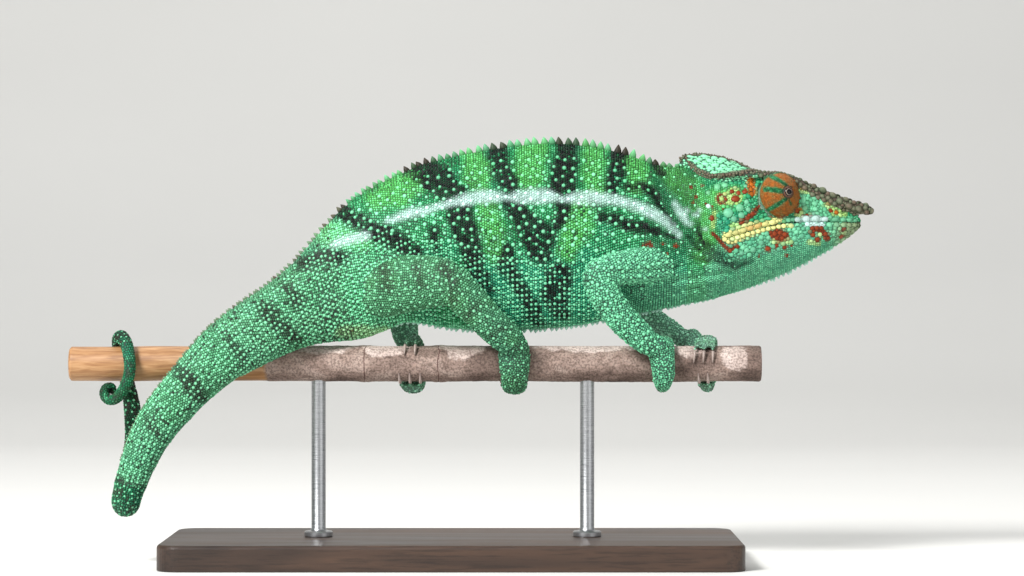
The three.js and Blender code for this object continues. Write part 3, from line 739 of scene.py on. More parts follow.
def evenly(fine, centres, step):
    """Resamples a course, and what goes with it, at even steps along its centres."""
    lengths = lengths_along(centres)
    stops = np.arange(0, lengths[-1], step)
    return np.stack([np.interp(stops, lengths, column) for column in fine.T], axis=1)


def round_from(centre, up, side, turn, rays=48):
    """Places on the skin round a course, from its upper side, and how far round each one is in mm."""
    hits = []
    for j in range(rays + 1):
        angle = turn * j / rays
        hit = skin_tree.ray_cast(centre, up * math.cos(angle) + side * math.sin(angle))[0]
        if hit is not None:
            hits.append(hit)
    if len(hits) < 8:
        return None, None
    hits = np.array(hits)
    return hits, lengths_along(hits)


def ring_scales(centres, ups, sides, parts, across, height, half_rings):
    """Sets rings of granules round a course. half_rings sets each side from the middle of the back."""
    for k in range(len(centres) - 1):
        centre, up, side = Vector(centres[k]), Vector(ups[k]), Vector(sides[k])
        lengthwise = up.cross(side).normalized()
        ahead = Vector(centres[k + 1])
        ahead_lengthwise = Vector(ups[k + 1]).cross(Vector(sides[k + 1])).normalized()
        turns = ((1, math.pi), (-1, math.pi)) if half_rings else ((1, 2 * math.pi),)
        for hand, turn in turns:
            hits, lengths = round_from(centre, up, side * hand, turn)
            if hits is None:
                continue
            for stop in np.arange(0, lengths[-1] - across * 0.4, across):
                place = point_at(hits, lengths, stop)
                room = abs((place - ahead).dot(ahead_lengthwise))
                stride = 1
                while room * stride < across * 0.6 and stride < 8:
                    stride *= 2
                if k % stride:
                    continue
                if k // stride % 2:
                    stop += across / 2
                elif hand < 0 and stop == 0:
                    continue
                stop += rng.uniform(-0.05, 0.05)
                place = point_at(hits, lengths, stop)
                place += lengthwise * rng.uniform(-0.05, 0.05)
                room = min(room * stride, across * 1.15)
                grown = rng.uniform(0.93, 1.04)
                half = (room * 0.64 * grown, across * 0.56 * grown, height * grown)
                set_scale(place, lengthwise, half, "granule", 0.72, parts, across * 0.5)


# Where a viewer of either flank stands: plates and markings are placed as seen from there.
viewpoint = Vector((20.7, 1200, 99))


def as_seen(places):
    """Where places come on the flank's middle plane for a viewer on their own side, as x and z."""
    share = viewpoint.y / (viewpoint.y - np.abs(places[:, 1]))
    x = viewpoint.x + (places[:, 0] - viewpoint.x) * share
    return x, viewpoint.z + (places[:, 2] - viewpoint.z) * share


def met_by(rays):
    """The places where rays meet the skin. rays holds (start, direction)."""
    hits = [skin_tree.ray_cast(start, direction)[0] for start, direction in rays]
    return [hit for hit in hits if hit is not None]


def seen_sides(x, z):
    """The places on the skin that a viewer on the right, and one on the left, see at a spot."""
    eyes = [Vector((viewpoint.x, hand * viewpoint.y, viewpoint.z)) for hand in (-1, 1)]
    return met_by([(eye, Vector((x, 0, z)) - eye) for eye in eyes])


def both_sides(x, z):
    """The places on the skin, right and left, level with a place on the flank."""
    return met_by([(Vector((x, 0, z)), Vector((0, hand, 0))) for hand in (-1, 1)])


def scattered(count, parts):
    """Places spread evenly at random over some parts of the skin."""
    chosen = np.array([part.startswith(parts) for part in face_part])
    a, b, c = (skin_points[skin_faces[chosen][:, i]] for i in range(3))
    areas = np.linalg.norm(np.cross(b - a, c - a), axis=1)
    index = rng.choice(len(areas), count, p=areas / areas.sum())
    u, v = rng.random((2, count, 1))
    u, v = np.where(u + v > 1, 1 - u, u), np.where(u + v > 1, 1 - v, v)
    return a[index] + u * (b[index] - a[index]) + v * (c[index] - a[index])


# ---- the lids: fine rings of granules about each eye's gaze
forward = Vector((1, 0, 0))
turret_radius = 8.3
lid_spacing = 0.56
for side, centre in turret_centres.items():
    gaze = Vector(gazes[side]).normalized()
    raised = (Vector((0, 0, 1)) - gaze * gaze.z).normalized()
    across_gaze = gaze.cross(raised)
    for ring in range(26):
        tilt = math.radians(11.6 + 3.6 * ring)
        count = round(2 * math.pi * turret_radius * math.sin(tilt) / lid_spacing)
        for i in range(count):
            turn = 2 * math.pi * (i + 0.5 * (ring % 2)) / count
            ray = gaze * math.cos(tilt)
            ray += (raised * math.cos(turn) + across_gaze * math.sin(turn)) * math.sin(tilt)
            hit = skin_tree.ray_cast(Vector(centre), ray)[0]
            if hit is not None:
                set_scale(hit, ray - gaze, (0.34, 0.31, 0.2), "granule", 0.62, "eye_turret", 0.26)

# ---- the ridges of the casque and the brow, and the horny beads of the snout
crown_line = smooth_course(
    [(79.4, 0, 141.3), (81.2, 0, 142.9), (86, 0, 143.2), (90, 0, 142.8), (95, 0, 141.8), (100, 0, 140),
     (104, 0, 138), (107, 0, 136.9), (113, 0, 136), (121, 0, 133.2)])
brow_line = smooth_course(
    [(79.6, 0.5, 140.6), (81.2, 0.7, 141.9), (83, 2.8, 139.4), (86, 5.2, 136.5), (90, 7.3, 135),
     (95, 8.6, 135.2), (100, 8.7, 136), (104, 8.0, 136.7), (108, 7.4, 137.2), (113, 7.2, 137.3),
     (118, 7.1, 136), (121, 6.9, 134.5)])
# Horny beads of the snout's crest, as seen from beside: x, z, half length, half width and height.
snout_beads = [
    (121.1, 134.6, 0.85, 0.8, 0.6), (123.9, 132.9, 1.1, 1.3, 0.8), (126.4, 131.6, 1.25, 1.3, 0.95),
    (129.5, 130.2, 1.6, 1.4, 1.15), (133, 128.5, 1.65, 1.2, 1.1), (137.6, 127, 1.4, 1.05, 1.0),
    (141.6, 126, 1.4, 1.15, 1.05), (144.6, 124.9, 1.25, 1.15, 0.95), (146.6, 122.9, 1.0, 1.25, 0.9),
    (129.3, 128.2, 1.15, 0.85, 0.6), (132.3, 126.4, 1.15, 1.1, 0.75), (135.4, 126.4, 1.45, 1.2, 0.85),
    (138.6, 124.7, 1.6, 1.2, 0.95), (142, 123.7, 1.5, 1.2, 0.95), (144.8, 122.7, 1.2, 1.0, 0.85),
    (125, 130.4, 0.8, 0.6, 0.4), (127.4, 129.2, 0.85, 0.6, 0.45), (135.6, 124.3, 0.9, 0.7, 0.5),
    (139.6, 122.6, 0.9, 0.6, 0.45),
]


def bead_row(line, hand, start, stop, spacing, half, jitter, shift=(0, 0, 0)):
    """Beads along a ridge. half is (length, width, height) at its start, and at its end."""
    line = (line + np.array(shift)) * np.array([1, hand, 1])
    lengths = lengths_along(line)
    stations = np.interp([start, stop], line[:, 0], lengths)
    at, run = stations[0], stations[1] - stations[0]
    while at < stations[1]:
        share = (at - stations[0]) / run
        grown = 1 + jitter * rng.uniform(-1, 1)
        size = tuple(grown * (a + (b - a) * share) for a, b in zip(*half))
        place = point_at(line, lengths, at)
        onward = point_at(line, lengths, at + 1) - place
        place += Vector(rng.uniform(-1, 1, 3)) * jitter * size[0]
        set_scale(place, onward, size, "bead", 0.5)
        at += spacing * size[0] * 2


for x, z, long, wide, tall in snout_beads:
    for place in seen_sides(x, z):
        grown = rng.uniform(0.95, 1.05)
        half = (long * grown, wide * grown, tall * grown)
        set_scale(place, Vector((1, 0, -0.4)), half, "bead", 0, ("rostral",), long * 0.8)
for hand in (1, -1):
    bead_row(brow_line, hand, 79.6, 120.5, 0.86, ((0.5, 0.55, 0.5), (0.75, 0.65, 0.5)), 0.25)
    bead_row(brow_line, hand, 104, 119, 0.86, ((0.5, 0.45, 0.3), (0.6, 0.5, 0.35)), 0.25, (0, 1.0, -0.5))
    bead_row(brow_line, hand, 82, 107, 0.86, ((0.45, 0.5, 0.35), (0.55, 0.5, 0.4)), 0.35, (0, 0.1, -0.95))
    bead_row(brow_line, hand, 84, 106, 0.9, ((0.4, 0.45, 0.3), (0.45, 0.45, 0.3)), 0.35, (0, -0.5, 0.8))
bead_row(crown_line, 1, 79.4, 121, 0.85, ((0.42, 0.5, 0.55), (0.5, 0.55, 0.55)), 0.35)
for hand in (1, -1):
    bead_row(crown_line, hand, 80.5, 120, 0.9, ((0.36, 0.4, 0.3), (0.4, 0.45, 0.35)), 0.35, (0, 0.8, -0.5))
for grown in (1.2, 1.0, 0.8, 0.6, 0.45):
    for place in scattered(700, "rostral_crest"):
        size = grown * rng.uniform(0.9, 1.1)
        set_scale(Vector(place), forward, (size, size * 0.92, size * 0.6), "bead", 0.8, reach=size * 0.85)

# ---- long plates on the hollow sides of the casque, between its crown and its brow
for row, share in enumerate((0.14, 0.31, 0.48, 0.65, 0.82)):
    for x in np.arange(81.6 + 1.7 * (row % 2), 105, 3.3):
        x += rng.uniform(-0.3, 0.3)
        top = np.interp(x, crown_line[:, 0], crown_line[:, 2])
        low = np.interp(x, brow_line[:, 0], brow_line[:, 2])
        for place in seen_sides(x, top + (low - top) * share) if top - low > 1.8 else ():
            half = (rng.uniform(1.2, 1.7), 0.1 * (top - low) + 0.05, 0.4)
            if set_scale(place, Vector((1, 0, -0.28)), half, "plate", 0.4, ("casque",), 0.6):
                for end in (0.6, -0.6):
                    hold(scales[-1][0] + scales[-1][2] * half[0] * end, 0.5)
for place in scattered(3000, "casque"):
    grown = rng.uniform(0.32, 0.44)
    set_scale(Vector(place), Vector((1, 0, -0.28)), (grown * 1.4, grown, 0.28), "plate", 0.8)

# ---- the lips: a smooth band of plates over the gape, and rounded plates below it
lip_course = smooth_course([(x, 0, z) for x, z in mouth_line])
for rise, start, stop, size, tall in (
    (0.95, 95.6, 113.4, 1.35, 0.95), (2.5, 95, 112.5, 1.1, 0.75), (3.6, 95.2, 104, 0.9, 0.6),
    (-0.95, 97, 116.5, 0.95, 0.9), (-2.4, 117, 138, 0.85, 0.8),
):
    for x in np.arange(start, stop, size * 1.9):
        z = np.interp(x, lip_course[:, 0], lip_course[:, 2]) + rise
        for place in both_sides(x, z):
            grown = size * rng.uniform(0.92, 1.06)
            set_scale(place, Vector((1, 0, 0.25)), (grown, tall, 0.45), "plate", 0.6, reach=tall)

# ---- the plates of the lips' front, the temple, the cheek, and before the eye, as seen from
# beside: x, z, half length and half width
face_plates = [
    (114.6, 120.2, 1.2, 1.0), (117.4, 119.8, 1.15, 0.9), (120.6, 120, 1.2, 1.0),
    (123.6, 120.2, 1.5, 1.25), (126.9, 120.3, 1.6, 1.3), (130.2, 120.1, 1.4, 1.05),
    (133.8, 120, 1.5, 0.95), (136.6, 119.9, 1.1, 0.85), (138.8, 119.8, 1.0, 0.8),
    (140.8, 119.6, 0.9, 0.75), (118.4, 117.7, 1.1, 1.0), (120.8, 117.7, 1.15, 1.05),
    (123.7, 117.8, 1.25, 1.1), (126.5, 117.9, 1.35, 1.15), (129.2, 118, 1.25, 1.05),
    (131.8, 118.1, 1.15, 1.0), (134.3, 118.1, 1.1, 0.95), (136.7, 118, 1.0, 0.9), (138.8, 118, 0.9, 0.85),
    (140.7, 118, 0.8, 0.8), (120.2, 115.6, 0.95, 0.95), (122.2, 114.2, 1.0, 1.0),
    (122.9, 116.1, 0.75, 0.75), (118.2, 114.9, 0.7, 0.7), (96.4, 122.2, 1.85, 1.85),
    (100.4, 124, 1.5, 1.45), (101, 121.4, 1.25, 1.2), (98.4, 120.1, 1.15, 1.15), (96.2, 119, 1.0, 1.0),
    (102.8, 126, 0.95, 1.0), (103.4, 123.4, 0.95, 0.95), (104.9, 126.6, 0.8, 1.15),
    (92.6, 131.3, 1.2, 1.4), (95.2, 131.9, 1.25, 1.1), (89.4, 129.3, 0.85, 0.85),
    (91.2, 129.3, 0.45, 0.65), (97.5, 132.6, 0.9, 0.65), (98.8, 131.1, 0.75, 0.7),
    (102.4, 131.6, 0.8, 0.8), (94.1, 127.1, 0.8, 0.85), (96.3, 129.4, 0.7, 0.7), (97.7, 129.7, 0.95, 0.9),
    (98.9, 127.1, 1.65, 1.3), (100, 129.2, 0.8, 0.95), (102.2, 129.6, 1.1, 0.85), (96.6, 126, 0.6, 0.6),
    (89.4, 124.6, 0.85, 0.9), (90.7, 120.4, 0.8, 1.1), (93.6, 123.6, 0.8, 0.8), (92.9, 121.3, 0.75, 0.8),
    (93.6, 119, 0.7, 0.75), (101.3, 119.1, 1.0, 0.7), (103.2, 120.3, 1.0, 0.8), (104.9, 121.9, 0.95, 0.8),
    (106.1, 123.4, 0.8, 0.8), (107.3, 124.7, 0.7, 0.7), (104.4, 130.4, 0.8, 0.8),
    (104.6, 132.2, 0.9, 0.9), (104.2, 133.8, 0.8, 0.7), (106, 120.6, 0.8, 0.8), (107.9, 120.9, 0.9, 0.7),
    (104, 118.6, 0.8, 0.6), (122.6, 126.9, 1.15, 2.0), (123.2, 123.9, 1.1, 1.0), (126.5, 129.1, 0.9, 0.7),
    (126.6, 127.4, 1.1, 0.85), (126.7, 125.5, 1.2, 0.95), (126.8, 123.6, 1.1, 0.85),
    (127.6, 122.1, 0.85, 0.65), (129, 127.4, 1.0, 0.6), (129, 125.8, 0.8, 1.05), (130.2, 123.4, 0.9, 1.0),
    (129, 124, 0.5, 0.6), (131.2, 125.4, 0.8, 0.8), (132.3, 123, 0.9, 0.8), (134.2, 122.4, 0.9, 0.75),
    (136.8, 121.6, 0.8, 0.7), (131.8, 121.8, 0.8, 0.6), (122.1, 130.7, 0.9, 0.8),
    (123.8, 130.7, 0.9, 0.8), (125.2, 129.9, 0.6, 0.6), (122, 122.4, 0.8, 0.8), (119.9, 127.8, 0.55, 1.0),
    (119.8, 125.6, 0.65, 1.1), (120.2, 123.4, 0.8, 1.1), (125, 122, 0.8, 0.5), (107.9, 111.8, 1.1, 1.05),
    (105.1, 109.4, 1.15, 1.15), (101.5, 110.2, 0.95, 1.0), (102.8, 112, 0.6, 0.6),
    (105.2, 112, 0.65, 0.65), (110.1, 112.2, 0.65, 0.65), (112.6, 114.9, 0.95, 0.95),
    (114.4, 115.3, 0.85, 0.8), (116.2, 114.7, 0.95, 0.9), (113.4, 113.4, 0.85, 0.8),
    (115.3, 113.4, 0.8, 0.75), (117.4, 113.2, 0.7, 0.7), (113.3, 110.8, 0.85, 0.75),
    (110.2, 109.7, 1.05, 0.85), (116.1, 110.2, 0.8, 0.75), (118.6, 110.8, 0.5, 0.5),
    (125.8, 116.3, 0.85, 0.75), (128.1, 116.5, 0.95, 0.8), (130.4, 114.9, 0.9, 0.85),
    (131.3, 113.5, 0.8, 0.75), (127.6, 113.1, 0.9, 0.75), (126.1, 114.6, 0.8, 0.8),
    (128.5, 114.7, 0.85, 0.8),
]
for x, z, long, wide in face_plates:
    for place in seen_sides(x, z):
        half = (long, wide, 0.42 * (long + wide) / 2)
        set_scale(place, forward, half, "plate", 0.7, reach=0.9 * min(long, wide))
for grown, count in ((0.95, 900), (0.78, 1800), (0.62, 3500), (0.5, 6000)):
    for place in scattered(count, ("cranium", "lower_jaw")):
        x, y, z = place
        on_face = span(x, 92, 99) * (z > 106 + 0.25 * (x - 100)) * (z < 134) + (x > 131) * 0.6
        if rng.random() < on_face * (1.0 if x < 128 or z > 112 else 0.3):
            radius = grown * rng.uniform(0.88, 1.1)
            set_scale(Vector(place), forward, (radius, radius * 0.95, radius * 0.42), "plate", 0.8)

# ---- the saw-toothed crest of the back and tail, and the pale ones of the throat and belly
fine_body = smooth_course(body_line)
middle = np.column_stack([(fine_body[:, 0] + fine_body[:, 2]) / 2, fine_body[:, 4],
                          (fine_body[:, 1] + fine_body[:, 3]) / 2])
upper = np.column_stack([fine_body[:, 0], fine_body[:, 4], fine_body[:, 1]])
outer_edge = middle + (upper - middle) * 0.55


def body_rings(edge, step, low=-math.inf, high=math.inf):
    """Rings round the body, evenly set along an edge: centres, and their ways up and to the side."""
    rings = evenly(np.column_stack([middle, upper - middle]), edge, step)
    rings = rings[(rings[:, 0] > low) & (rings[:, 0] < high)]
    ups = rings[:, 3:] / np.linalg.norm(rings[:, 3:], axis=1)[:, None]
    return rings[:, :3], ups, np.tile([0.0, 1.0, 0.0], (len(rings), 1))


centres, ups, sides = body_rings(outer_edge, 0.84)
spined = ("trunk", "neck", "tail_base", "tail_middle", "lower_jaw", "cranium")
body_lengths = ("trunk", "tail_base", "tail_middle")


def crest_row(edge, away, start, stop, spacings, heights):
    """Sets spines where the skin meets a course of the body, and returns their rings and spacings.

    Both tables map x to mm.
    """
    stations = []
    at = start
    while at > stop:
        k = int(np.argmin(np.abs(edge[:, 0] - at)))
        room = np.interp(at, *zip(*spacings))
        tall = np.interp(at, *zip(*heights))
        hit = skin_tree.ray_cast(Vector(centres[k]), Vector(away[k]))[0]
        if hit is not None:
            size = (room * 0.5, min(1.0, room * 0.4), tall * rng.uniform(0.88, 1.1))
            onward = Vector(centres[k]) - Vector(centres[min(k + 1, len(centres) - 1)])
            set_scale(hit, onward, size, "spine", 0, spined, 0.6)
            stations.append((k, room))
        step = abs(edge[min(k + 1, len(edge) - 1)] - edge[k])
        at -= room * max(step[0] / max(np.linalg.norm(step), 1e-6), 0.25)
    return stations


spine_stations = crest_row(
    centres + 20 * ups, ups, 79, -128,
    [(-120, 1.2), (-60, 1.7), (-30, 2.1), (0, 2.5), (20, 2.9), (80, 2.7)],
    [(-120, 0.8), (-90, 1.2), (-60, 1.7), (-35, 2.0), (0, 2.3), (25, 2.8), (62, 2.8), (80, 1.3)],
)
for k, room in spine_stations:
    onward = Vector(centres[min(k + 1, len(centres) - 1)] - centres[k])
    for hand in (1, -1):
        for beside in (-0.33, 0, 0.33):
            centre = Vector(centres[k]) + onward * beside * room
            hits, lengths = round_from(centre, Vector(ups[k]), Vector((0, hand, 0)), 1.4, 24)
            if hits is None:
                continue
            for row in range(3):
                stop = 1.3 + 1.65 * row + rng.uniform(-0.1, 0.1)
                place = point_at(hits, lengths, stop)
                below = point_at(hits, lengths, stop + 1)
                half = (0.98, 0.48, 0.5)
                set_scale(place, place - below, half, "granule", 0.8, ("trunk", "neck", "tail_base"), 0.5)
crest_row(
    centres - 18 * ups, -ups, 136, 98,
    [(98, 1.4), (136, 1.5)], [(98, 0.5), (107, 0.9), (112, 1.5), (120, 1.4), (136, 0.7)],
)
crest_row(
    centres - 30 * ups, -ups, 92, -20,
    [(-20, 1.9), (92, 1.7)], [(-20, 0.8), (0, 1.5), (60, 1.4), (92, 0.7)],
)

# ---- tubercles: low round domes among the granules, in strings along the low flank and the tail
for k in range(0, len(centres) - 1, 2):
    for hand in (1, -1):
        centre, up = Vector(centres[k]), Vector(ups[k])
        hits, lengths = round_from(centre, up, Vector((0, hand, 0)), math.pi)
        if hits is None:
            continue
        for stop in np.arange(1.6, lengths[-1] - 0.8, 1.95):
            stop += rng.uniform(-0.35, 0.35)
            place = point_at(hits, lengths, stop)
            if place.x > 58 or place.z > 111 - 0.22 * place.x or rng.random() < 0.14:
                continue
            radius = rng.uniform(0.46, 0.68)
            half = (radius, radius, radius * 0.7)
            set_scale(place, forward, half, "tubercle", 0.8, body_lengths, radius * 0.9)
# How far apart tubercles are, and their least and greatest radius, by part.
tubercle_rules = {
    "trunk": (2.5, 0.62, 0.9), "neck": (3.4, 0.5, 0.62), "tail_bend": (1.7, 0.42, 0.56),
    "tail_loop": (1.5, 0.34, 0.44), "hind": (2.0, 0.5, 0.7), "front": (1.8, 0.55, 0.76),
}
spots = {}
for place in scattered(60000, tuple(tubercle_rules)):
    spot, outward, face, _ = skin_tree.find_nearest(Vector(place))
    part = face_part[face]
    if part.endswith(("hand", "foot", "toes_inner", "toes_outer")):
        apart, least, most = 2.0, 0.4, 0.52
    else:
        apart, least, most = next(rule for key, rule in tubercle_rules.items() if part.startswith(key))
    if part == "trunk" and (spot.z > back_height(spot.x) - 5 or spot.z < 110 - 0.22 * spot.x):
        continue
    home = tuple(int(v // 4) for v in spot)
    near = [spots.get((home[0] + i, home[1] + j, home[2] + k), ())
            for i in (-1, 0, 1) for j in (-1, 0, 1) for k in (-1, 0, 1)]
    if any((spot - other).length < apart for group in near for other in group):
        continue
    radius = rng.uniform(least, most)
    if set_scale(spot, forward, (radius, radius, radius * 0.72), "tubercle", 0.8, reach=radius * 0.9):
        spots.setdefault(home, []).append(spot)

# ---- rings of granules round the body, the tail's end and the limbs
neck_rings = body_rings(outer_edge, 0.62, 60, 98)
ring_scales(*neck_rings, ("neck",), across=0.72, height=0.27, half_rings=True)
ring_scales(centres, ups, sides, body_lengths, across=0.95, height=0.31, half_rings=True)
face_rings = body_rings(middle, 0.68, 84)
ring_scales(*face_rings, ("lower_jaw", "cranium"), across=0.77, height=0.28, half_rings=True)


def tube_rings(points, parts, step, across, height):
    """Sets rings of granules round a tube that follows points."""
    fine = smooth_course(points)
    centres = evenly(fine, fine, step)
    runs = np.gradient(centres, axis=0)
    ups, sides = [], []
    up = Vector(runs[0]).orthogonal().normalized()
    for run in runs:
        run = Vector(run).normalized()
        up = (up - run * up.dot(run)).normalized()
        ups.append(up)
        sides.append(run.cross(up))
    ring_scales(centres, np.array(ups), np.array(sides), parts, across, height, False)


# The middle of the tail from its lowest bend, up behind the branch and round it, to the tip.
tail_end = [
    (-111.4, -12, 28.4), (-113.2, -10.3, 23.1), (-113.9, -5.2, 20.8), (-113.8, 0.2, 23),
    (-112.9, 3.6, 30), (-112.2, 6.2, 40), (-112.8, 8.4, 50), (-114.4, 10.2, 60), (-116.8, 10.3, 69),
    (-117.9, 7.3, 76), (-116.3, 0, 79.2), (-113.4, -7, 76.1), (-111.9, -9.5, 70), (-112.3, -9.7, 65.4),
    (-114.1, -9.3, 60.9), (-116.9, -8.4, 57.5), (-119.9, -7.2, 56.9), (-121.6, -6, 59),
    (-120.9, -5, 61.6), (-118.7, -4, 61.9), (-118, -3.2, 60), (-119.3, -2.6, 59.1),
]
tube_rings(tail_end, ("tail_bend", "tail_loop", "tail_tip"), 0.8, 0.86, 0.27)
# The middle of each limb, from the body to the wrist or ankle.
limb_courses = {
    "front_right": [(74, -7, 104.5), (66, -13, 103.8), (57, -18, 102.8), (50.5, -20, 101.2),
                    (49.4, -20, 99.5), (53.6, -19.3, 91.5), (60, -16.8, 83.6), (68, -13.2, 76.8)],
    "front_left": [(74, 7, 102), (69, 13, 99), (64, 18.5, 96.5), (60, 21, 94.5), (60, 21.3, 93),
                   (66, 20, 88), (73, 16.5, 83.2), (80, 12.8, 78.8)],
    "hind_right": [(-31, -5, 95), (-20, -11.5, 96.5), (-9, -17, 98.3), (-1.5, -20, 98.3),
                   (0.5, -20.5, 97.5), (8, -19.6, 89.5), (15, -17, 81.8), (20.8, -13.4, 77)],
    "hind_left": [(-31, 5, 93), (-25, 12, 92), (-20, 18.5, 90.5), (-17.5, 22, 89), (-17, 21.4, 88),
                  (-17.5, 20.3, 84), (-17.5, 17, 80.5), (-16.5, 13.2, 77.6)],
}
for limb, points in limb_courses.items():
    tube_rings(points, limb, 0.8, 0.9, 0.3)

# ---- fine granules wherever room is left: the feet, the folds, and between the plates
bare = ("casque", "eye_turret")
for place in scattered(360000, tuple(name for name in flesh if not name.startswith(bare))):
    if has_room(place, 0.36, 0.9):
        grown = rng.uniform(0.38, 0.48)
        set_scale(Vector(place), forward, (grown, grown, 0.25), "granule", 0.86, reach=0.36)


# ================================================================ The markings
# The living colours: a green to turquoise ground with dark bands, a broken bluish-white stripe,
# lime patches, rust spots on the head and shoulder, and a cream lip. They are painted once, for
# the skin and for every scale on it, and are alike on both flanks.

# Each mark is a stroke of the brush as seen from beside: x, z and half width, from place to place.
dark_marks = [
    [(-14, 141, 5.5), (-9, 137, 6), (-4, 133, 5.5), (0.5, 129, 4)],
    [(14, 148, 4), (16, 140, 3.8), (19, 134, 3.6), (20.5, 130, 3.2)],
    [(40, 149, 4.2), (39.5, 140, 4.3), (38, 131, 4.8)],
    [(58.5, 146, 3.4), (57.5, 139, 3.3), (55.5, 131, 2.6)],
    [(71.5, 142, 2.4), (73, 136, 1.8)],
    [(-47, 121, 2.6), (-40, 124, 3.4), (-34, 119.5, 2.4), (-26, 115.5, 3.4), (-17, 111, 3.6), (-11, 107, 2)],
    [(-54, 104.5, 2.4), (-45, 107.5, 3.2), (-38, 106, 2.2)],
    [(2, 125, 4.6), (4, 116, 4.4), (7, 108, 3.8), (8.5, 100, 3), (10, 93, 1.6)],
    [(20.5, 126, 3), (24.5, 119.5, 3.8), (29.5, 115, 5.8), (31, 108, 4)],
    [(19.5, 110, 2.6), (19, 103, 3.2), (23, 97, 3), (27, 90, 3.2), (30, 84, 2.6)],
    [(38.5, 125, 3.3), (39, 121, 2.8), (36, 118, 1.8)],
    [(37, 101, 4.6), (36, 94, 5.6), (38, 88, 3.2)],
    [(12, 100, 1.6), (13.5, 95, 1.3)],
    [(-6.5, 116, 2), (-6, 110, 1.6)],
    [(52.5, 121, 2.4), (60, 118.6, 2), (66, 117.3, 2.4), (72, 115, 1.9), (78.5, 113.3, 1)],
    [(59, 131.5, 1), (67, 132, 1.6), (70, 129, 1.6), (73, 125, 1.5), (78, 118, 0.8)],
    [(86, 116, 1.4), (90, 110, 2), (95, 105.5, 1.4)],
    [(-66, 88.5, 3), (-60, 83, 3.6), (-56, 79.5, 2.4)],
    [(-59, 97, 2), (-54, 91, 2.4)],
    [(-97, 67.5, 2.2), (-91.5, 62, 3.6), (-88, 58, 2.2)],
    [(-79, 77, 1.6), (-74, 72, 2)],
    [(-106, 50, 1.4), (-103, 44, 1.8)],
    [(-118, 29, 2), (-114, 20, 3.2)],
]
limb_marks = [
    [(-35, 101, 2.2), (-34, 94, 2.6)], [(-24, 103, 2.2), (-23.5, 96, 2.4)], [(-12, 104, 1.6), (-11, 97, 1.4)],
    [(-4, 103.5, 2.2), (-1, 100, 1.6)], [(1, 98, 1.7), (0, 91, 1.6)], [(9, 90, 1.2), (5, 86, 1.4)],
    [(17, 82, 1.2), (12, 79, 1)], [(45.5, 101, 1), (47, 97, 1.2)], [(53, 90, 1), (51, 87, 1)],
]
white_marks = [
    [(-42, 111, 0.9), (-36, 113.2, 1.7), (-30, 114.2, 1.2)],
    [(-23, 119.5, 0.9), (-15, 122, 1.8), (-10, 123, 1.4), (-5, 124.7, 1.2), (0, 126, 1.4), (5, 127.2, 2),
     (11, 128, 2.8), (16, 127.9, 1.9), (18.5, 127.6, 0.7), (22, 127.9, 2), (28, 128.1, 2.6),
     (34, 127.9, 2.3), (38.5, 127, 0.8), (42, 127.5, 2.1), (49, 127.5, 2.4), (55, 127, 1.8),
     (60, 126, 1.7), (65, 124.5, 1.8), (70, 122.2, 1.9), (74, 119.5, 1.7), (77, 117, 1.2), (79, 115, 0.5)],
    [(77.4, 125.8, 0.8), (80.4, 121.2, 1.5), (82, 118.8, 0.9)], [(81.8, 123, 1)], [(85.2, 121.4, 1)],
    [(86.4, 123, 0.7)], [(83.3, 118.2, 0.7)], [(88.4, 116.7, 0.6)], [(79, 114.6, 1)], [(69.3, 109.5, 0.7)],
]
lime_marks = [
    [(-27, 127, 4), (-19, 130, 6), (-14, 133, 4)],
    [(7, 142, 3.6), (9, 135, 5)], [(28, 146, 4.6), (27, 135, 5)],
    [(48.5, 146, 3.6), (49, 137, 4), (50, 131, 3.6)], [(64, 140, 4.6), (65, 133, 4)],
    [(75, 138, 3.6), (82, 131, 5), (87, 123, 3.6), (89, 115, 3), (88, 107, 3.5)],
    [(12.5, 123, 4), (13.5, 116, 4.4), (15.5, 108.5, 3.2)], [(45.5, 124, 4.2), (43, 117, 5), (40.5, 110, 4)],
    [(-46, 116, 3.6), (-38, 114, 3.4), (-31, 111, 2.4)], [(92, 127, 4), (99, 128.5, 3)],
]
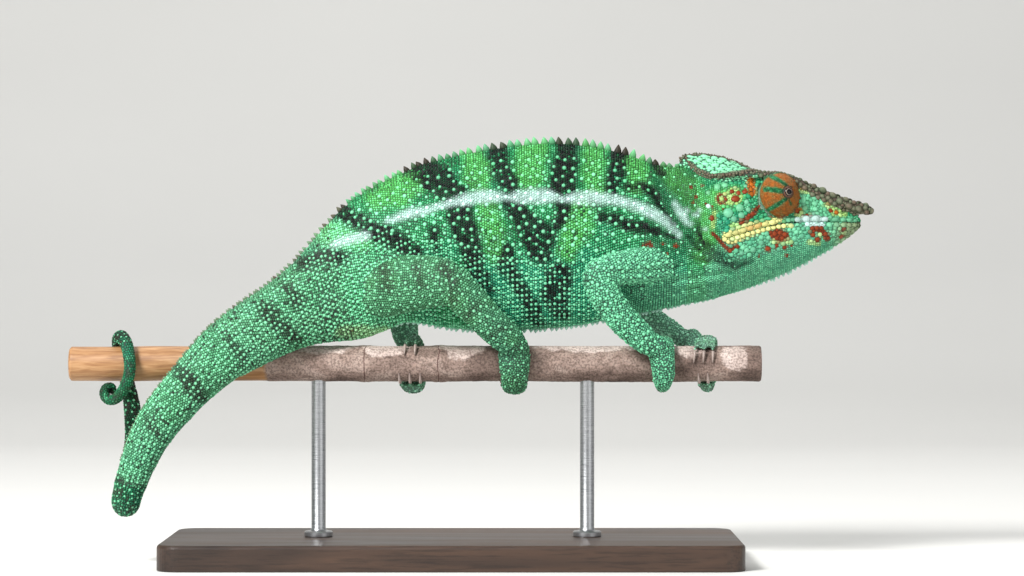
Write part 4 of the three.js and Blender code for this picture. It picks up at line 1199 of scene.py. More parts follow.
rust_marks = [
    [(100.7, 118.9, 0.9), (103.4, 120.5, 1), (104.9, 121.9, 0.9), (106.1, 123.4, 0.8), (107.5, 124.8, 0.7)],
    [(90.9, 115.2, 0.7), (92.6, 113.4, 0.7), (94.5, 111.2, 0.8), (96.6, 109.2, 0.8), (99.6, 110.6, 0.8)],
    [(112, 114.6, 1.5), (114.5, 115.2, 1.6), (116.4, 114.3, 1.5), (114.2, 113.2, 1.2)],
    [(113.3, 110.8, 0.9)], [(110.2, 109.7, 1.1)], [(116.1, 110.2, 0.9)], [(118.6, 110.8, 0.5)],
    [(117, 107.6, 0.7)], [(107, 107.2, 0.5)], [(125.8, 116.3, 1.1), (128.1, 116.6, 1.1), (130.4, 114.9, 1.2)],
    [(130.4, 114.9, 1.2), (131, 113.4, 1.1)], [(127.6, 113, 1.1)], [(126, 114.6, 1)],
    [(136.6, 116.4, 1)], [(136.4, 113.8, 0.9), (137.6, 112.4, 0.6)], [(139.4, 115.4, 0.5)],
    [(92.6, 127.3, 0.5), (93.4, 128.6, 0.5), (94.9, 128.5, 0.5), (95.7, 127.2, 0.5), (95, 125.8, 0.5),
     (93.4, 125.7, 0.5), (92.6, 127.3, 0.5)],
    [(97.7, 129.7, 0.6)], [(98.9, 127.1, 1.2)], [(100, 129, 0.6)], [(102.2, 129.7, 1)], [(94.5, 123.6, 0.5)],
    [(90.7, 120.4, 1)], [(88.4, 125.5, 0.5)], [(91, 124.3, 0.5)], [(83.4, 131.2, 0.7)], [(85.2, 127.8, 0.7)],
    [(84.1, 125.9, 0.5)], [(87.4, 131.7, 0.5)], [(78.1, 110.7, 0.9)], [(132.1, 123.2, 0.8)],
    [(119.9, 128.6, 0.6), (119.8, 125, 0.9), (120.6, 122.5, 0.9)], [(122, 121.5, 0.4), (125.5, 121.4, 0.4)],
    [(134.2, 122.5, 0.8)], [(131.6, 125.4, 0.5)], [(123.8, 130.8, 0.7)], [(137, 123.2, 0.4)],
    [(111, 121.2, 0.5), (116, 120.9, 0.5)], [(66.5, 110.6, 0.6), (69, 111.6, 0.7), (70, 109.4, 0.6)],
    [(73.6, 111.3, 0.6)], [(75, 107.9, 0.5)], [(61, 106, 0.7)], [(63, 101.4, 0.7)],
]
orange_marks = [
    [(103, 116.9, 0.25), (108, 118.3, 0.25)], [(104.3, 133.6, 1.3), (104.8, 129.6, 1.5)],
    [(121.4, 123.4, 0.8)], [(122.2, 130.8, 0.6)], [(134.2, 122.5, 0.5)],
]
# Yellowish lime scales that edge the rust plates of the head.
edging_marks = [
    [(94.1, 127.1, 2.3), (98.9, 127.4, 2.3), (98.6, 129.7, 1.7)], [(121.2, 122, 1.5), (122.4, 123.4, 0.7)],
    [(122.3, 130.8, 1.5), (125.2, 129.8, 1)], [(130.8, 125, 1.2), (133.8, 122.6, 1.4), (137.2, 121.9, 1)],
    [(128.5, 114.7, 1)], [(112.4, 112.4, 1), (117.6, 112.2, 0.9)], [(91, 117.5, 0.9), (91.6, 122.4, 0.9)],
    [(125, 112, 1), (128, 111.6, 0.8)], [(136.8, 115, 0.9)], [(97.5, 118.2, 0.7), (100.5, 117.7, 0.5)],
]
cream_marks = [
    [(95.7, 114, 1.6), (99, 115.2, 1.6), (104, 117.3, 1.3), (109, 118.5, 1.1), (115, 119.9, 0.9)],
    [(96.8, 111.9, 0.8), (101.7, 113.7, 0.8), (108, 115.9, 0.7), (113, 117.3, 0.6), (118, 117.8, 0.5)],
]
pearl_marks = [
    [(120.4, 119.9, 0.5), (123.5, 120.1, 1.4), (127, 120.3, 1.5), (130.2, 120, 0.7)],
    [(123.6, 117.9, 0.6), (126.5, 117.9, 1.1), (129.2, 118, 0.9)], [(89.4, 124.6, 0.7)],
]
pale_marks = [
    [(130.2, 120, 1.2), (141, 119.6, 0.9)], [(131.8, 118, 0.8), (140, 118, 0.8)], [(92.6, 131.3, 1.1)],
    [(114.6, 120.2, 0.5), (120.8, 119.8, 0.9)], [(118.4, 117.7, 0.7), (121, 117.7, 0.8)],
    [(122.6, 128, 1), (123.2, 123.6, 1)], [(126.5, 129, 0.9), (127, 122.4, 1)], [(95.2, 131.9, 1.1)],
    [(128.9, 127.2, 0.7), (128.9, 125, 0.6)], [(89.4, 129.3, 0.7)], [(98.8, 131.1, 0.6)], [(96.4, 122.2, 1)],
    [(100.4, 124, 0.8)], [(101, 121.4, 0.6)], [(98.4, 120.2, 0.5)], [(103.3, 123.4, 0.6), (102.8, 126, 0.6)],
    [(107.9, 111.8, 0.7)], [(105.1, 109.4, 0.8)], [(101.5, 110.3, 0.7)], [(102.4, 131.6, 0.7)],
]
lid_bars = [
    [(109.4, 130.3, 0.9), (113, 130.1, 1.05), (116.4, 129.8, 0.8)],
    [(111.2, 135.2, 0.7), (113.6, 134.1, 0.85), (116.6, 132, 0.6)],
    [(110.2, 123.2, 0.7), (113.2, 124.9, 0.9), (116.6, 127.2, 0.7)],
    [(117.6, 127.2, 0.3), (118.4, 125.4, 0.4)],
]
# Dark strokes on the neck. The first two, in a crescent under the angle of the jaw, are partly painted shadow
# and partly dark markings.
neck_marks_and_jaw_shadow = [
    [(82, 114, 1.3), (87, 110.8, 2), (91.5, 107.8, 2.4), (95.5, 104.8, 2), (100, 104, 1.3),
     (104, 105.6, 0.8)],
    [(84, 107.4, 1.1), (90, 105.6, 1.1)], [(77.4, 119.5, 0.5), (79.2, 117, 0.5)],
]


def covered(x, z, marks, soft):
    """How far a set of strokes covers points of the flank, from 0 to 1."""
    cover = np.zeros(len(x))
    for line in marks:
        cover = np.maximum(cover, np.clip(0.5 + stroke(x, z, line) / soft, 0, 1))
    return cover


def markings(places, outward, parts):
    """Two sets of four pigments and the mint, for points of the skin on the named parts."""
    real_x, y, real_z = places.T
    x, z = as_seen(places)
    parts = np.array(parts)
    mirrored = np.column_stack([x, np.abs(y) * 0.6, z])
    drift = 1.0 * ripple(mirrored, 4.5, 21) + 0.55 * ripple(mirrored, 1.7, 22)
    rise = 1.0 * ripple(mirrored, 4.5, 23) + 0.55 * ripple(mirrored, 1.7, 24)
    grainy = ripple(mirrored, 1.15, 25)
    patchy = ripple(mirrored, 7, 26)
    wx, wz = x + drift, z + rise

    def on(*names):
        return np.array([part.startswith(names) for part in parts])

    limb = on("front", "hind")
    hand = np.where(on("front_left", "hind_left"), 1, -1)
    inner = limb * span(-outward[:, 1] * hand, -0.1, 0.6)
    tail_end = on("tail_bend", "tail_loop", "tail_tip")
    face = on("cranium", "lower_jaw", "casque", "rostral", "eye_turret")
    lid = on("eye_turret")
    jaws = on("cranium", "lower_jaw")
    tail_root = on("tail_base", "tail_middle")
    flank = ~limb & ~face
    below = span(-z, -84.5, -80) * (x > -20) * flank

    dark = covered(wx, wz, dark_marks, 2.2) * (flank & ~tail_end)
    # Dark neck markings, and the painted shadow under the angle of the jaw.
    dark = np.maximum(dark, 0.75 * covered(wx, wz, neck_marks_and_jaw_shadow, 1.8) * on("neck", "lower_jaw", "cranium"))
    dark = np.maximum(dark, 0.62 * covered(wx, wz, limb_marks, 2.4) * on("hind", "front"))
    gape = covered(real_x, real_z, [[(mx, mz, 0.3) for mx, mz in mouth_line]], 0.3)
    gape *= jaws
    dark = np.maximum(dark, gape * (np.abs(y) > 0.8))
    dark *= 1 - 0.8 * below - 0.2 * tail_root
    dark *= 1.02 + 0.3 * grainy
    peppered = span(ripple(mirrored, 0.9, 27), 0.42, 0.62)
    limes = covered(wx, wz, lime_marks, 3.2)
    dotted = limes * (z < 125) * (x > 5) * flank
    dark = np.maximum(dark, peppered * (0.85 * dotted + 0.9 * tail_root))
    dark = np.maximum(dark, 0.35 * span(patchy, 0.2, 0.7) * flank)
    dark = np.maximum(dark, (0.4 + 0.2 * grainy) * on("neck") * span(z, 104, 110))
    dark = np.maximum(dark, (0.88 - 0.35 * span(-y, 4, 10) + 0.3 * grainy) * tail_end)

    white = covered(x + 0.5 * drift, z + 0.45 * rise, white_marks, 2.0) * (0.9 + 0.2 * grainy)
    white *= flank | on("cranium")
    rust = covered(x + 0.15 * drift, z + 0.15 * rise, rust_marks, 0.5) * ~limb * (np.abs(y) > 3)
    orange = covered(x, z, orange_marks, 0.8) * face * ~lid
    edging = covered(x + 0.15 * drift, z + 0.15 * rise, edging_marks, 0.6) * jaws
    cream = covered(x, z, cream_marks, 0.5) * jaws * (np.abs(y) > 1)
    cream = np.maximum(cream, 0.45 * edging)
    vent = covered(wx, wz, [[(-39, 80.5, 2), (-24, 80.5, 2.4)]], 2) * flank
    cream = np.maximum(cream, 0.25 * vent)
    pearl = covered(x, z, pearl_marks, 0.5) * jaws
    white = np.maximum(white, pearl)
    white = np.maximum(white, 0.32 * inner)

    bars = covered(x + 0.2 * drift, z + 0.2 * rise, lid_bars, 0.7)
    dark = np.maximum(dark, lid * bars * (0.5 + 0.4 * grainy + 0.25 * span(x, 113, 117)))
    away = np.zeros(len(x))
    for side, centre in turret_centres.items():
        reach = places - centre
        cosine = (reach @ gazes[side]) / np.maximum(np.linalg.norm(reach, axis=1), 1e-6)
        here = lid & (np.sign(y) == np.sign(centre[1]))
        away = np.where(here, 1 - cosine, away)
    speckle = ripple(mirrored, 0.7, 28)
    lid_ground = np.clip(1 - 1.1 * bars, 0, 1) * span(-away, -1.0, -0.92)
    rim = lid * span(away, 1.0, 1.04) * span(-away, -1.2, -1.14) * span(-z, -133, -130) * span(-x, -114, -111)
    dark = np.maximum(dark, 0.6 * lid * span(-np.abs(away - 0.95), -0.03, -0.01) * span(-x, -112, -109))
    white = np.maximum(white, 0.5 * rim)
    rust = np.where(lid, lid_ground * np.clip(0.75 + 0.3 * speckle, 0, 1), rust)
    orange = np.where(lid, lid_ground * (0.6 + 0.3 * patchy + 0.25 * speckle), orange)

    horn = on("rostral").astype(float)
    crown_gap = np.abs(real_z - np.interp(real_x, crown_line[:, 0], crown_line[:, 2]))
    brow_gap = np.abs(real_z - np.interp(real_x, brow_line[:, 0], brow_line[:, 2]))
    ridge = np.maximum(span(-crown_gap, -1.1, -0.4), span(-brow_gap, -1.3, -0.5))
    horn = np.where(on("casque"), ridge, horn)
    top_gap = span(real_z, 134.5, 136) * (real_x > 102) * (real_x < 122) * on("cranium")
    horn = np.maximum(horn, top_gap)
    horn = np.maximum(horn, 0.55 * span(x, 132, 140) * (z < 119) * on("lower_jaw"))
    cream = np.maximum(cream, 0.35 * span(x, 131, 139) * (z < 119) * on("lower_jaw"))
    horn = np.where(lid, 0.45 * span(away, 0.95, 1.02), horn)
    horn = np.maximum(horn, 0.3 * tail_end * span(grainy, -0.2, 0.8))
    horn = np.maximum(horn, 0.22 * on("hind_right") + 0.12 * tail_root)

    lime = np.maximum(0.85 * limes * ~on("casque", "rostral"), edging)
    lime = np.maximum(lime, 0.3 * span(patchy, 0.1, 0.9) * on("hind", "tail_base"))
    turquoise = span(-z, -116, -98) * (x > 6) * (x < 82) + 0.8 * on("lower_jaw") + 0.35 * on("cranium")
    turquoise += 0.55 * span(ripple(mirrored, 9, 29), 0, 0.8) + 0.6 * on("front") + 0.35 * tail_end
    turquoise = np.clip(turquoise - 0.6 * on("hind"), 0, 1) * (1 - 0.7 * lime)
    mint = 0.75 * on("casque") * (1 - ridge) + 0.5 * below + 0.55 * covered(x, z, pale_marks, 0.5) * jaws
    # Painted light: the lower flank, hips and tail root are made paler towards the rear.
    rearward_painted_light = 0.5 * span(-x, 4, 44) * (1 - span(z, 116, 126)) * on("trunk", "tail_base", "tail_middle")
    mint = np.maximum(mint, rearward_painted_light * (0.8 + 0.3 * patchy))
    mint = np.maximum(mint, 0.3 * limb + 0.2 * on("front_right") + 0.35 * inner)
    snout = on("cranium") * span(x, 120, 122) * span(-x, -134, -131) * span(-z, -132, -130)
    throat = on("neck", "trunk") * span(-z, -104, -99) * span(x, 56, 64)
    mint = np.maximum(mint, 0.35 * np.maximum(snout, throat))
    mint = np.maximum(mint, (0.4 + 0.2 * grainy) * on("lower_jaw"))
    toes = np.array(["toes" in part for part in parts])
    past_wood = toes & (y * hand < 4)
    mint = np.maximum(mint, 0.6 * past_wood)
    horn = np.maximum(horn, past_wood * (0.3 + 0.25 * grainy))
    first = np.column_stack([dark, white, lime, turquoise])
    second = np.column_stack([rust, orange, cream, horn])
    return np.clip(first, 0, 1), np.clip(second, 0, 1), np.clip(mint, 0, 1)


# The pigments, mixed in the order in which they lie over one another.
colours = bpy.data.node_groups.new("living_colours", "ShaderNodeTree")
for name, value in (
    ("Green", linear(44, 154, 94)), ("Turquoise", linear(42, 156, 120)), ("Lime", linear(102, 202, 102)),
    ("Dark", linear(5, 20, 15)), ("Pearl", linear(210, 236, 234)), ("Rust", linear(140, 60, 30)),
    ("Orange", linear(196, 108, 38)), ("Cream", linear(226, 222, 146)), ("Horn", linear(106, 88, 76)),
    ("Mint", linear(146, 218, 178)), ("Highlight", linear(136, 224, 176)),
):
    colours.interface.new_socket(name, in_out="INPUT", socket_type="NodeSocketColor").default_value = value
colours.interface.new_socket("Colour", in_out="OUTPUT", socket_type="NodeSocketColor")
group_in = colours.nodes.new("NodeGroupInput").outputs
group_out = colours.nodes.new("NodeGroupOutput")
first = node(colours, "ShaderNodeAttribute", attribute_name="pigment_a")
second = node(colours, "ShaderNodeAttribute", attribute_name="pigment_b")
tone = point_value(colours, "tone")
mint = point_value(colours, "mint")
raised = point_value(colours, "crown")
firsts = node(colours, "ShaderNodeSeparateColor", {"Color": first.outputs["Color"]}).outputs
seconds = node(colours, "ShaderNodeSeparateColor", {"Color": second.outputs["Color"]}).outputs
mixed = blended(colours, first.outputs["Alpha"], group_in["Green"], group_in["Turquoise"])
# Painted highlight: the crown of each dome is mixed towards the Highlight colour, on top of each scale's own
# paler or darker tone.
domed = node(colours, "ShaderNodeMath", {0: raised, 1: 0.55, 2: tone}, operation="MULTIPLY_ADD")
lit = node(colours, "ShaderNodeMapRange", {"Value": domed.outputs[0], "From Max": 1.1, "To Max": 0.9})
for cover, pigment in (
    (firsts[2], "Lime"), (mint, "Mint"), (lit.outputs[0], "Highlight"), (firsts[0], "Dark"),
    (firsts[1], "Pearl"), (seconds[2], "Cream"), (seconds[0], "Rust"), (seconds[1], "Orange"),
    (second.outputs["Alpha"], "Horn"),
):
    mixed = blended(colours, cover, mixed, group_in[pigment])
# Scales of low tone are darkened: mostly each scale's own darker tone, and on the top of the trunk painted
# shade as well.
shade = node(colours, "ShaderNodeMapRange", {"Value": tone, "From Min": -1.0, "From Max": 0.0, "To Min": 0.5})
shades = dict.fromkeys(("Red", "Green", "Blue"), shade.outputs[0])
shade_colour = node(colours, "ShaderNodeCombineColor", shades)
mixed = blended(colours, 1.0, mixed, shade_colour.outputs[0], "MULTIPLY")
colours.links.new(mixed, group_out.inputs["Colour"])


# ---- the material of the skin between the scales: the same colours, dull, and darkened all over as painted shade in the gaps between the scales, darkest along fine creases
hide, hide_tree, hide_shader = material_with("skin", 0.7)
hide_colour = node(hide_tree, "ShaderNodeGroup", node_tree=colours).outputs["Colour"]
links = {"Vector": object_place(hide_tree), "Scale": 1600.0}
creases = node(hide_tree, "ShaderNodeTexVoronoi", links, feature="DISTANCE_TO_EDGE")
# Painted shade: the skin between the scales is multiplied down to a fifth or less, darkest along the creases;
# the depth attribute sets how much of it there is.
gap_shade_stops = [(0.0, (0.05, 0.07, 0.07, 1)), (0.25, (0.16, 0.2, 0.19, 1))]
crease_shade = ramp(hide_tree, creases.outputs["Distance"], gap_shade_stops)
depth = point_value(hide_tree, "depth")
hide_colour = blended(hide_tree, depth, hide_colour, crease_shade, "MULTIPLY")
hide_tree.links.new(hide_colour, hide_shader.inputs["Base Color"])
bumped(hide_tree, hide_shader, creases.outputs["Distance"], 0.5, 0.00015)
skin.data.materials.clear()
skin.data.materials.append(hide)


def give_colours(mesh, pigments_a, pigments_b, minty, tones):
    """Stores what the living colours read, for each point of a mesh."""
    give(mesh, "pigment_a", "FLOAT_COLOR", pigments_a)
    give(mesh, "pigment_b", "FLOAT_COLOR", pigments_b)
    give(mesh, "mint", "FLOAT", minty)
    give(mesh, "tone", "FLOAT", tones)


on_parts = [flesh[number] for number in point_node]
pigments_a, pigments_b, minty = markings(skin_points, normals_of(skin.data), on_parts)
give_colours(skin.data, pigments_a, pigments_b, minty, np.zeros(len(skin_points)))
# Less of the painted gap shade on the face, and where the skin is white.
on_face = np.array([part.startswith(("cranium", "lower_jaw", "rostral")) for part in on_parts])
paler = 0.42 * on_face * (0.45 + 0.55 * span(skin_points[:, 0], 104, 112))
give(skin.data, "depth", "FLOAT", 0.95 - np.maximum(0.65 * pigments_a[:, 1], paler))
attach(skin, "root")
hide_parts(*flesh)

# ================================================================ The scales
# Each scale is a small hard dome of resin set on the skin by its rim. Its shape is one of a few
# moulds: a six-sided granule, a round plate or tubercle, a horny bead, and a crest spine.

horny, horny_tree, horny_shader = material_with("scales", 0.4)
scale_colour = node(horny_tree, "ShaderNodeGroup", node_tree=colours)
crown = point_value(horny_tree, "crown")
where = object_place(horny_tree)
pitting = node(horny_tree, "ShaderNodeTexNoise", {"Vector": where, "Scale": 2600.0, "Detail": 3.0})
# Painted shade and highlight: each scale is darkened towards its rim, where it meets the skin, and brightened
# at its crown.
rim_stops = [(0.0, (0.1, 0.19, 0.13, 1)), (0.45, (0.64, 0.76, 0.68, 1)), (1.0, (1.16, 1.14, 1.14, 1))]
rim_shade = ramp(horny_tree, crown, rim_stops)
rimmed = blended(horny_tree, 1.0, scale_colour.outputs["Colour"], rim_shade, "MULTIPLY")
pit_stops = [(0.3, grey(0.86)), (0.6, grey(1.04))]
rimmed = blended(horny_tree, 1.0, rimmed, ramp(horny_tree, pitting.outputs["Fac"], pit_stops), "MULTIPLY")
horny_tree.links.new(rimmed, horny_shader.inputs["Base Color"])
horny_shader.inputs["Specular IOR Level"].default_value = 0.15
wear = node(horny_tree, "ShaderNodeMapRange", {"Value": crown, "To Min": 0.62, "To Max": 0.36})
horny_tree.links.new(wear.outputs[0], horny_shader.inputs["Roughness"])
bumped(horny_tree, horny_shader, pitting.outputs["Fac"], 0.2, 0.00005)


def mould(name, sides, profile, closed=True):
    """The shape of a scale of unit size.

    profile holds (radius, height, slide to the rear, crown) from its rim to its tip.
    """
    corners, crowns = [], []
    for radius, height, slide, crown_value in profile:
        for i in range(sides if radius else 1):
            angle = 2 * math.pi * i / sides
            corners.append((radius * math.cos(angle) - slide, radius * math.sin(angle), height))
            crowns.append(crown_value)
    rows = len(profile) - 1
    last = (rows - 1) * sides
    faces = band_faces(rows, sides)
    faces += [(last + i, last + (i + 1) % sides, last + sides) for i in range(sides)]
    if closed:
        faces.append(tuple(reversed(range(sides))))
    mesh = bpy.data.meshes.new(name)
    mesh.from_pydata(corners, [], faces)
    give(mesh, "crown", "FLOAT", np.array(crowns))
    layer = mesh.uv_layers.new(name="OFBake")
    for loop in mesh.loops:
        x, y, _ = corners[loop.vertex_index]
        layer.data[loop.index].uv = (x * 0.45, y * 0.45)
    return bpy.data.objects.new(name, mesh)


moulds = {
    "granule": mould("granule_mould", 6, [(1, -0.45, 0, 0), (0.8, 0.55, 0, 0.42), (0, 1, 0, 1)], False),
    "tubercle": mould(
        "tubercle_mould", 8,
        [(1.0, -0.35, 0, 0.0), (0.93, 0.3, 0, 0.45), (0.62, 0.82, 0, 0.85), (0, 1.0, 0, 1.0)],
    ),
    "plate": mould(
        "plate_mould", 10,
        [(1.0, -0.5, 0, 0.0), (0.98, 0.32, 0, 0.45), (0.8, 0.8, 0, 0.8), (0, 1.0, 0, 1.0)],
    ),
    "bead": mould(
        "bead_mould", 10,
        [(1.0, -0.5, 0, 0.0), (0.92, 0.25, 0, 0.35), (0.56, 0.72, 0.02, 0.7), (0.2, 0.98, 0.05, 0.95),
         (0, 1.03, 0.05, 1.0)],
    ),
    "spine": mould(
        "spine_mould", 10,
        [(1.0, -0.3, 0, 0.0), (0.97, 0.1, 0, 0.3), (0.78, 0.42, 0.04, 0.5), (0.42, 0.74, 0.14, 0.75),
         (0.14, 0.94, 0.24, 0.95), (0, 1.0, 0.28, 1.0)],
    ),
}

setting = bpy.data.node_groups.new("set_scales", "GeometryNodeTree")
sockets = {}
for name, kind, default in (
    ("Roots", "NodeSocketGeometry", None), ("Mould", "NodeSocketObject", None),
    ("Swell", "NodeSocketFloat", 1.0), ("Patch", "NodeSocketFloat", 0.003),
    ("Finish", "NodeSocketMaterial", None),
):
    socket = setting.interface.new_socket(name, in_out="INPUT", socket_type=kind)
    if default is not None:
        socket.default_value = default
    sockets[name] = socket.identifier
setting.interface.new_socket("Scales", in_out="OUTPUT", socket_type="NodeSocketGeometry")
given = setting.nodes.new("NodeGroupInput").outputs


def named(name, kind="FLOAT_VECTOR"):
    made = node(setting, "GeometryNodeInputNamedAttribute", {"Name": name}, data_type=kind)
    return made.outputs["Attribute"]


shape = node(setting, "GeometryNodeObjectInfo", {"Object": given["Mould"]}).outputs["Geometry"]
turned = node(
    setting, "FunctionNodeAxesToRotation",
    {"Primary Axis": named("outward"), "Secondary Axis": named("lengthwise")},
    primary_axis="Z", secondary_axis="X",
)
sized = node(
    setting, "ShaderNodeVectorMath", {0: named("half_size"), "Scale": given["Swell"]}, operation="SCALE"
)
placed = node(setting, "GeometryNodeInstanceOnPoints", {
    "Points": given["Roots"], "Instance": shape, "Rotation": turned.outputs[0], "Scale": sized.outputs[0],
})
real = node(setting, "GeometryNodeRealizeInstances", {"Geometry": placed.outputs[0]})
local = node(
    setting, "ShaderNodeVectorMath", {0: named("OFBake"), "Scale": given["Patch"]}, operation="SCALE"
)
patch = node(setting, "ShaderNodeVectorMath", {0: local.outputs[0], 1: named("root_place")}, operation="ADD")
stored = node(
    setting, "GeometryNodeStoreNamedAttribute",
    {"Geometry": real.outputs[0], "Name": "OFBake", "Value": patch.outputs[0]},
    data_type="FLOAT2", domain="CORNER",
)
flow = stored.outputs[0]
for spent in ("outward", "lengthwise", "half_size", "root_place"):
    flow = node(setting, "GeometryNodeRemoveAttribute", {"Geometry": flow, "Name": spent}).outputs[0]
flow = node(setting, "GeometryNodeSetShadeSmooth", {"Geometry": flow}).outputs[0]
flow = node(setting, "GeometryNodeSetMaterial", {"Geometry": flow, "Material": given["Finish"]}).outputs[0]
setting.links.new(flow, setting.nodes.new("NodeGroupOutput").inputs["Scales"])


# ---- where each scale's root comes on an unwrap of the skin, part by part, round each part's course
courses = {"body": (centres, ups)}
for limb, points in {**limb_courses, "tail_end": tail_end}.items():
    fine = smooth_course(points)
    stations = evenly(fine, fine, 1.0)
    runs = np.gradient(stations, axis=0)
    helper = np.cross(runs, (0.0, 1.0, 0.3))
    courses[limb] = (stations, helper / np.linalg.norm(helper, axis=1)[:, None])


def unwrapped(places, course):
    """Places on the skin laid flat: how far along the course in steps, and the turn round it."""
    stations, raised = courses[course]
    nearest = np.array([int(np.argmin(((stations - p) ** 2).sum(axis=1))) for p in places])
    run = np.gradient(stations, axis=0)[nearest]
    run /= np.linalg.norm(run, axis=1)[:, None]
    reach = places - stations[nearest]
    along_run = (reach * run).sum(axis=1)
    beside = np.cross(run, raised[nearest])
    turn = np.arctan2((reach * beside).sum(axis=1), (reach * raised[nearest]).sum(axis=1))
    return np.column_stack([nearest + along_run, turn])


def region_of(part):
    if part.startswith(("front_", "hind_")):
        return "_".join(part.split("_")[:2])
    if part in ("tail_bend", "tail_loop", "tail_tip"):
        return "tail_end"
    if part.startswith("tail"):
        return "tail"
    if part in ("trunk", "neck"):
        return "trunk"
    return "head"


places = np.array([spot for spot, *_ in scales])
outwards = np.array([outward for _, outward, *_ in scales])
lengthwise = np.array([long for _, _, long, *_ in scales])
halves = np.array([half for _, _, _, half, _, _ in scales])
parts = np.array([part for *_, part, _ in scales])
kinds = np.array([kind for *_, kind in scales])
regions = np.array([region_of(part) for part in parts])
pigments_a, pigments_b, minty = markings(places, outwards, parts)
chance = rng.random(len(scales))
big = np.isin(kinds, ("tubercle", "plate", "bead"))
tones = np.where(big, 0.3 + 0.5 * chance, -0.6 + 0.95 * chance)
tones = np.where(kinds == "plate", np.where(parts == "casque", -0.15, -0.62) + 0.6 * chance, tones)
tones -= 0.15 * (parts == "cranium") * (places[:, 0] < 108)
# Painted shade: the trunk's scales are made darker towards the top of the back, to take off the light from
# above.
tones -= 0.32 * span(places[:, 2], 118, 136) * (regions == "trunk")
tones -= 0.3 * np.char.startswith(parts, "hind") * (kinds != "tubercle")
tones -= 0.2 * np.char.startswith(parts, "tail") * (kinds != "tubercle")
tones -= 0.2 * np.char.startswith(parts, "eye_turret")
tones = np.where(kinds == "spine", -0.1 + 0.5 * chance, tones)
pigments_a[:, 0] *= np.where(kinds == "tubercle", 0.1 + 0.3 * chance, 0.8 + 0.3 * chance)
stray = rng.random(len(scales))
pigments_a[:, 0] *= np.where(stray < 0.07, 0.3, 1.0)
pigments_a[:, 1] *= 0.72 + 0.34 * stray
pigments_a[:, 0] *= np.where((kinds == "plate") & (regions == "head"), 0.3, 1.0)
below_spine = (kinds == "spine") & (outwards[:, 2] < -0.3)
pigments_a[:, 1] = np.where(below_spine, 0.6, pigments_a[:, 1])
pigments_b[:, 3] = np.where((kinds == "bead") & (regions == "head"), 0.86 + 0.14 * chance, pigments_b[:, 3])
tail_spine = (kinds == "spine") & (places[:, 0] < -38) & ~below_spine
pigments_b[:, 3] = np.where(tail_spine, 0.7, pigments_b[:, 3])
pigments_b[:, 3] = np.where((kinds == "spine") & ~tail_spine & ~below_spine, 0.3, pigments_b[:, 3])

coat_groups = []
for region in ("head", "trunk", "tail", "tail_end", "front_right", "front_left", "hind_right", "hind_left"):
    hands = (("right", -1), ("left", 1)) if region == "trunk" else (("", 0),)
    for hand, sign in hands:
        here = (regions == region) & ((np.sign(places[:, 1] + 1e-9) == sign) | (sign == 0))
        for kind in moulds:
            coat_groups.append((region, hand, kind, here & (kinds == kind)))
for region, hand, kind, chosen in coat_groups:
    if not chosen.any():
        continue
    title = "_".join(word for word in (kind, region, hand) if word)
    course = "body" if region in ("head", "trunk", "tail") else region
    flat = unwrapped(places[chosen], course)
    low, high = flat.min(axis=0), flat.max(axis=0)
    flat = 0.01 + 0.98 * (flat - low) / np.maximum(high - low, 1e-3)
    mesh = bpy.data.meshes.new(title + "_roots")
    mesh.from_pydata(places[chosen] * MM, [], [])
    give(mesh, "outward", "FLOAT_VECTOR", outwards[chosen])
    give(mesh, "lengthwise", "FLOAT_VECTOR", lengthwise[chosen])
    give(mesh, "half_size", "FLOAT_VECTOR", halves[chosen] * MM)
    give(mesh, "root_place", "FLOAT_VECTOR", np.column_stack([flat, np.zeros(len(flat))]))
    give_colours(mesh, pigments_a[chosen], pigments_b[chosen], minty[chosen], tones[chosen])
    rough = in_scene(title + "_roots", mesh)
    modifier = rough.modifiers.new("scales", "NODES")
    modifier.node_group = setting
    modifier[sockets["Mould"]] = moulds[kind]
    modifier[sockets["Swell"]] = 1.0
    modifier[sockets["Patch"]] = 0.003
    modifier[sockets["Finish"]] = horny
    coat = finished_mesh(rough, title, [])
    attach(coat, "root")


# ================================================================ The eyes
# A glass eye sits in the tip of each turret: a black pupil in a thin pale ring, under a clear
# domed front. The lids are fused round it, and a fine rim of lid skin closes on the glass.

glass, glass_tree, glass_shader = material_with("glass_eye", 0.06)
glass_shader.inputs["Coat Weight"].default_value = 0.15
glass_shader.inputs["Specular IOR Level"].default_value = 0.25
glass_shader.inputs["Coat Roughness"].default_value = 0.03
from_axis = point_value(glass_tree, "from_axis")
where = object_place(glass_tree)
flecks = node(glass_tree, "ShaderNodeTexNoise", {"Vector": where, "Scale": 5200.0, "Detail": 3.0})
ragged = node(
    glass_tree, "ShaderNodeMath", {0: flecks.outputs["Fac"], 1: 0.08, 2: from_axis}, operation="MULTIPLY_ADD"
)
iris_stops = [
    (0.0, linear(3, 3, 4)), (0.55, linear(4, 4, 5)), (0.59, linear(156, 142, 126)),
    (0.65, linear(112, 88, 68)), (0.69, linear(16, 13, 12)), (1.0, linear(10, 9, 9)),
]
glass_tree.links.new(ramp(glass_tree, ragged.outputs[0], iris_stops), glass_shader.inputs["Base Color"])
bumped(glass_tree, glass_shader, flecks.outputs["Fac"], 0.03, 0.00002)

rim_skin, rim_tree, rim_shader = material_with("lid_rim", 0.45)
where = object_place(rim_tree)
grains = node(rim_tree, "ShaderNodeTexVoronoi", {"Vector": where, "Scale": 3400.0})
rim_colours = [(0.1, linear(126, 76, 46)), (0.5, linear(84, 48, 30)), (0.8, linear(34, 22, 16))]
rim_tree.links.new(ramp(rim_tree, grains.outputs["Distance"], rim_colours), rim_shader.inputs["Base Color"])
bumped(rim_tree, rim_shader, grains.outputs["Distance"], -0.6, 0.0001)


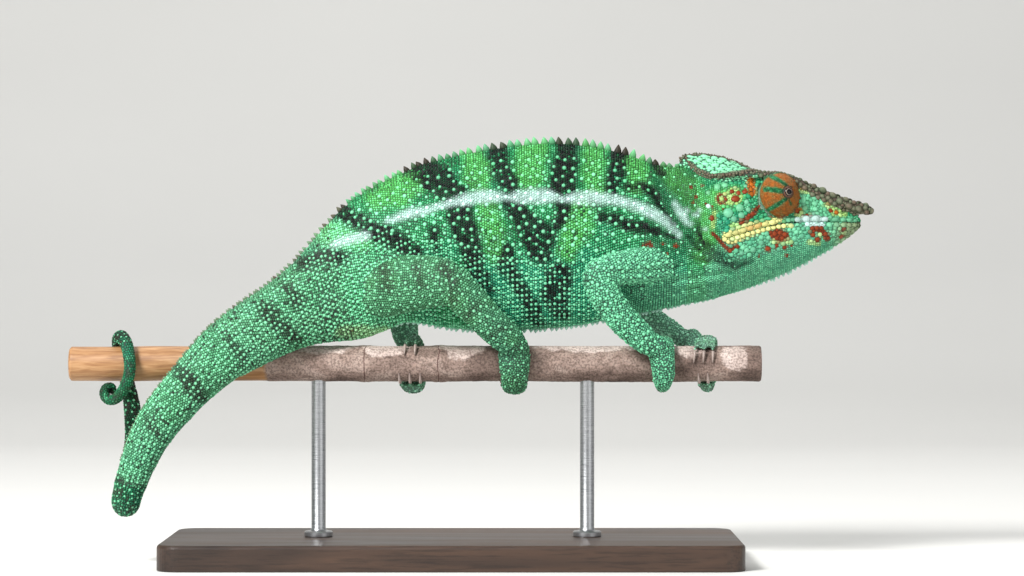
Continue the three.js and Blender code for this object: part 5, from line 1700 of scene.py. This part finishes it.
def turned_about(name, centre, axis, profile, sides, cap):
    """A form turned about an axis. profile holds (radius, distance along the axis)."""
    axis = Vector(axis).normalized()
    first = axis.orthogonal().normalized()
    second = axis.cross(first)
    corners = []
    for radius, depth in profile:
        for i in range(sides):
            turn = 2 * math.pi * i / sides
            place = Vector(centre) + axis * depth
            corners.append(place + (first * math.cos(turn) + second * math.sin(turn)) * radius)
    faces = band_faces(len(profile), sides, not cap)
    if cap:
        faces += cap_faces(len(profile), sides)
    made = smooth_shaded(mesh_object(name, [list(corner) for corner in corners], faces))
    form = bmesh.new()
    form.from_mesh(made.data)
    bmesh.ops.recalc_face_normals(form, faces=form.faces)
    form.to_mesh(made.data)
    form.free()
    return made


eye_radius = 1.9
for side, centre in turret_centres.items():
    gaze = gazes[side] / np.linalg.norm(gazes[side])
    ball_centre = centre + 6.6 * gaze
    ball = [(eye_radius * math.sin(a), eye_radius * math.cos(a) * (1.0 if a > 0.8 else 1.04))
            for a in np.linspace(math.pi * 0.7, 0.02, 28)]
    eye = turned_about(f"eyeball_{side}", ball_centre, gaze, ball, 40, True)
    depth, off_axis = along_axis(points_of(eye.data), ball_centre, gaze)
    give(eye.data, "from_axis", "FLOAT", np.where(depth > 0, off_axis / eye_radius, 1.0))
    eye.data.materials.append(glass)
    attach(eye, "root")
    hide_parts(f"eye_{side}")
    rim = [(1.58 + 0.25 * math.cos(a), 1.1 + 0.22 * math.sin(a)) for a in np.arange(14) * 2 * math.pi / 14]
    lid = turned_about(f"lid_rim_{side}", ball_centre, gaze, rim, 40, False)
    lid.data.materials.append(rim_skin)
    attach(lid, "root")


# ================================================================ The claws
# Short curved horny claws, pale at the root and darker at the point, each set into the tip of
# its toe.

claw_horn, claw_tree, claw_shader = material_with("claw_horn", 0.32)
near_tip = point_value(claw_tree, "near_tip")
where = object_place(claw_tree)
growth = node(claw_tree, "ShaderNodeTexNoise", {"Vector": where, "Scale": 1500.0, "Detail": 3.0})
streaked = node(
    claw_tree, "ShaderNodeMath", {0: growth.outputs["Fac"], 1: 0.4, 2: near_tip}, operation="MULTIPLY_ADD"
)
claw_stops = [(0.15, linear(138, 124, 118)), (0.6, linear(168, 150, 142)), (1.0, linear(92, 74, 68))]
claw_tree.links.new(ramp(claw_tree, streaked.outputs[0], claw_stops), claw_shader.inputs["Base Color"])
bumped(claw_tree, claw_shader, growth.outputs["Fac"], 0.15, 0.00005)

claw_names = sorted(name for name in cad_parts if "_claw_" in name)
claws = smooth_shaded(object_of(joined_copies(claw_names, 0.05), "claws"))
claw_points = points_of(claws.data)
from_wood = np.hypot(claw_points[:, 1], claw_points[:, 2] - branch_z)
give(claws.data, "near_tip", "FLOAT", 1 - np.clip((from_wood - 6.2) / 2.4, 0, 1))
claws.data.materials.append(claw_horn)
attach(claws, "root")
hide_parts(*claw_names)
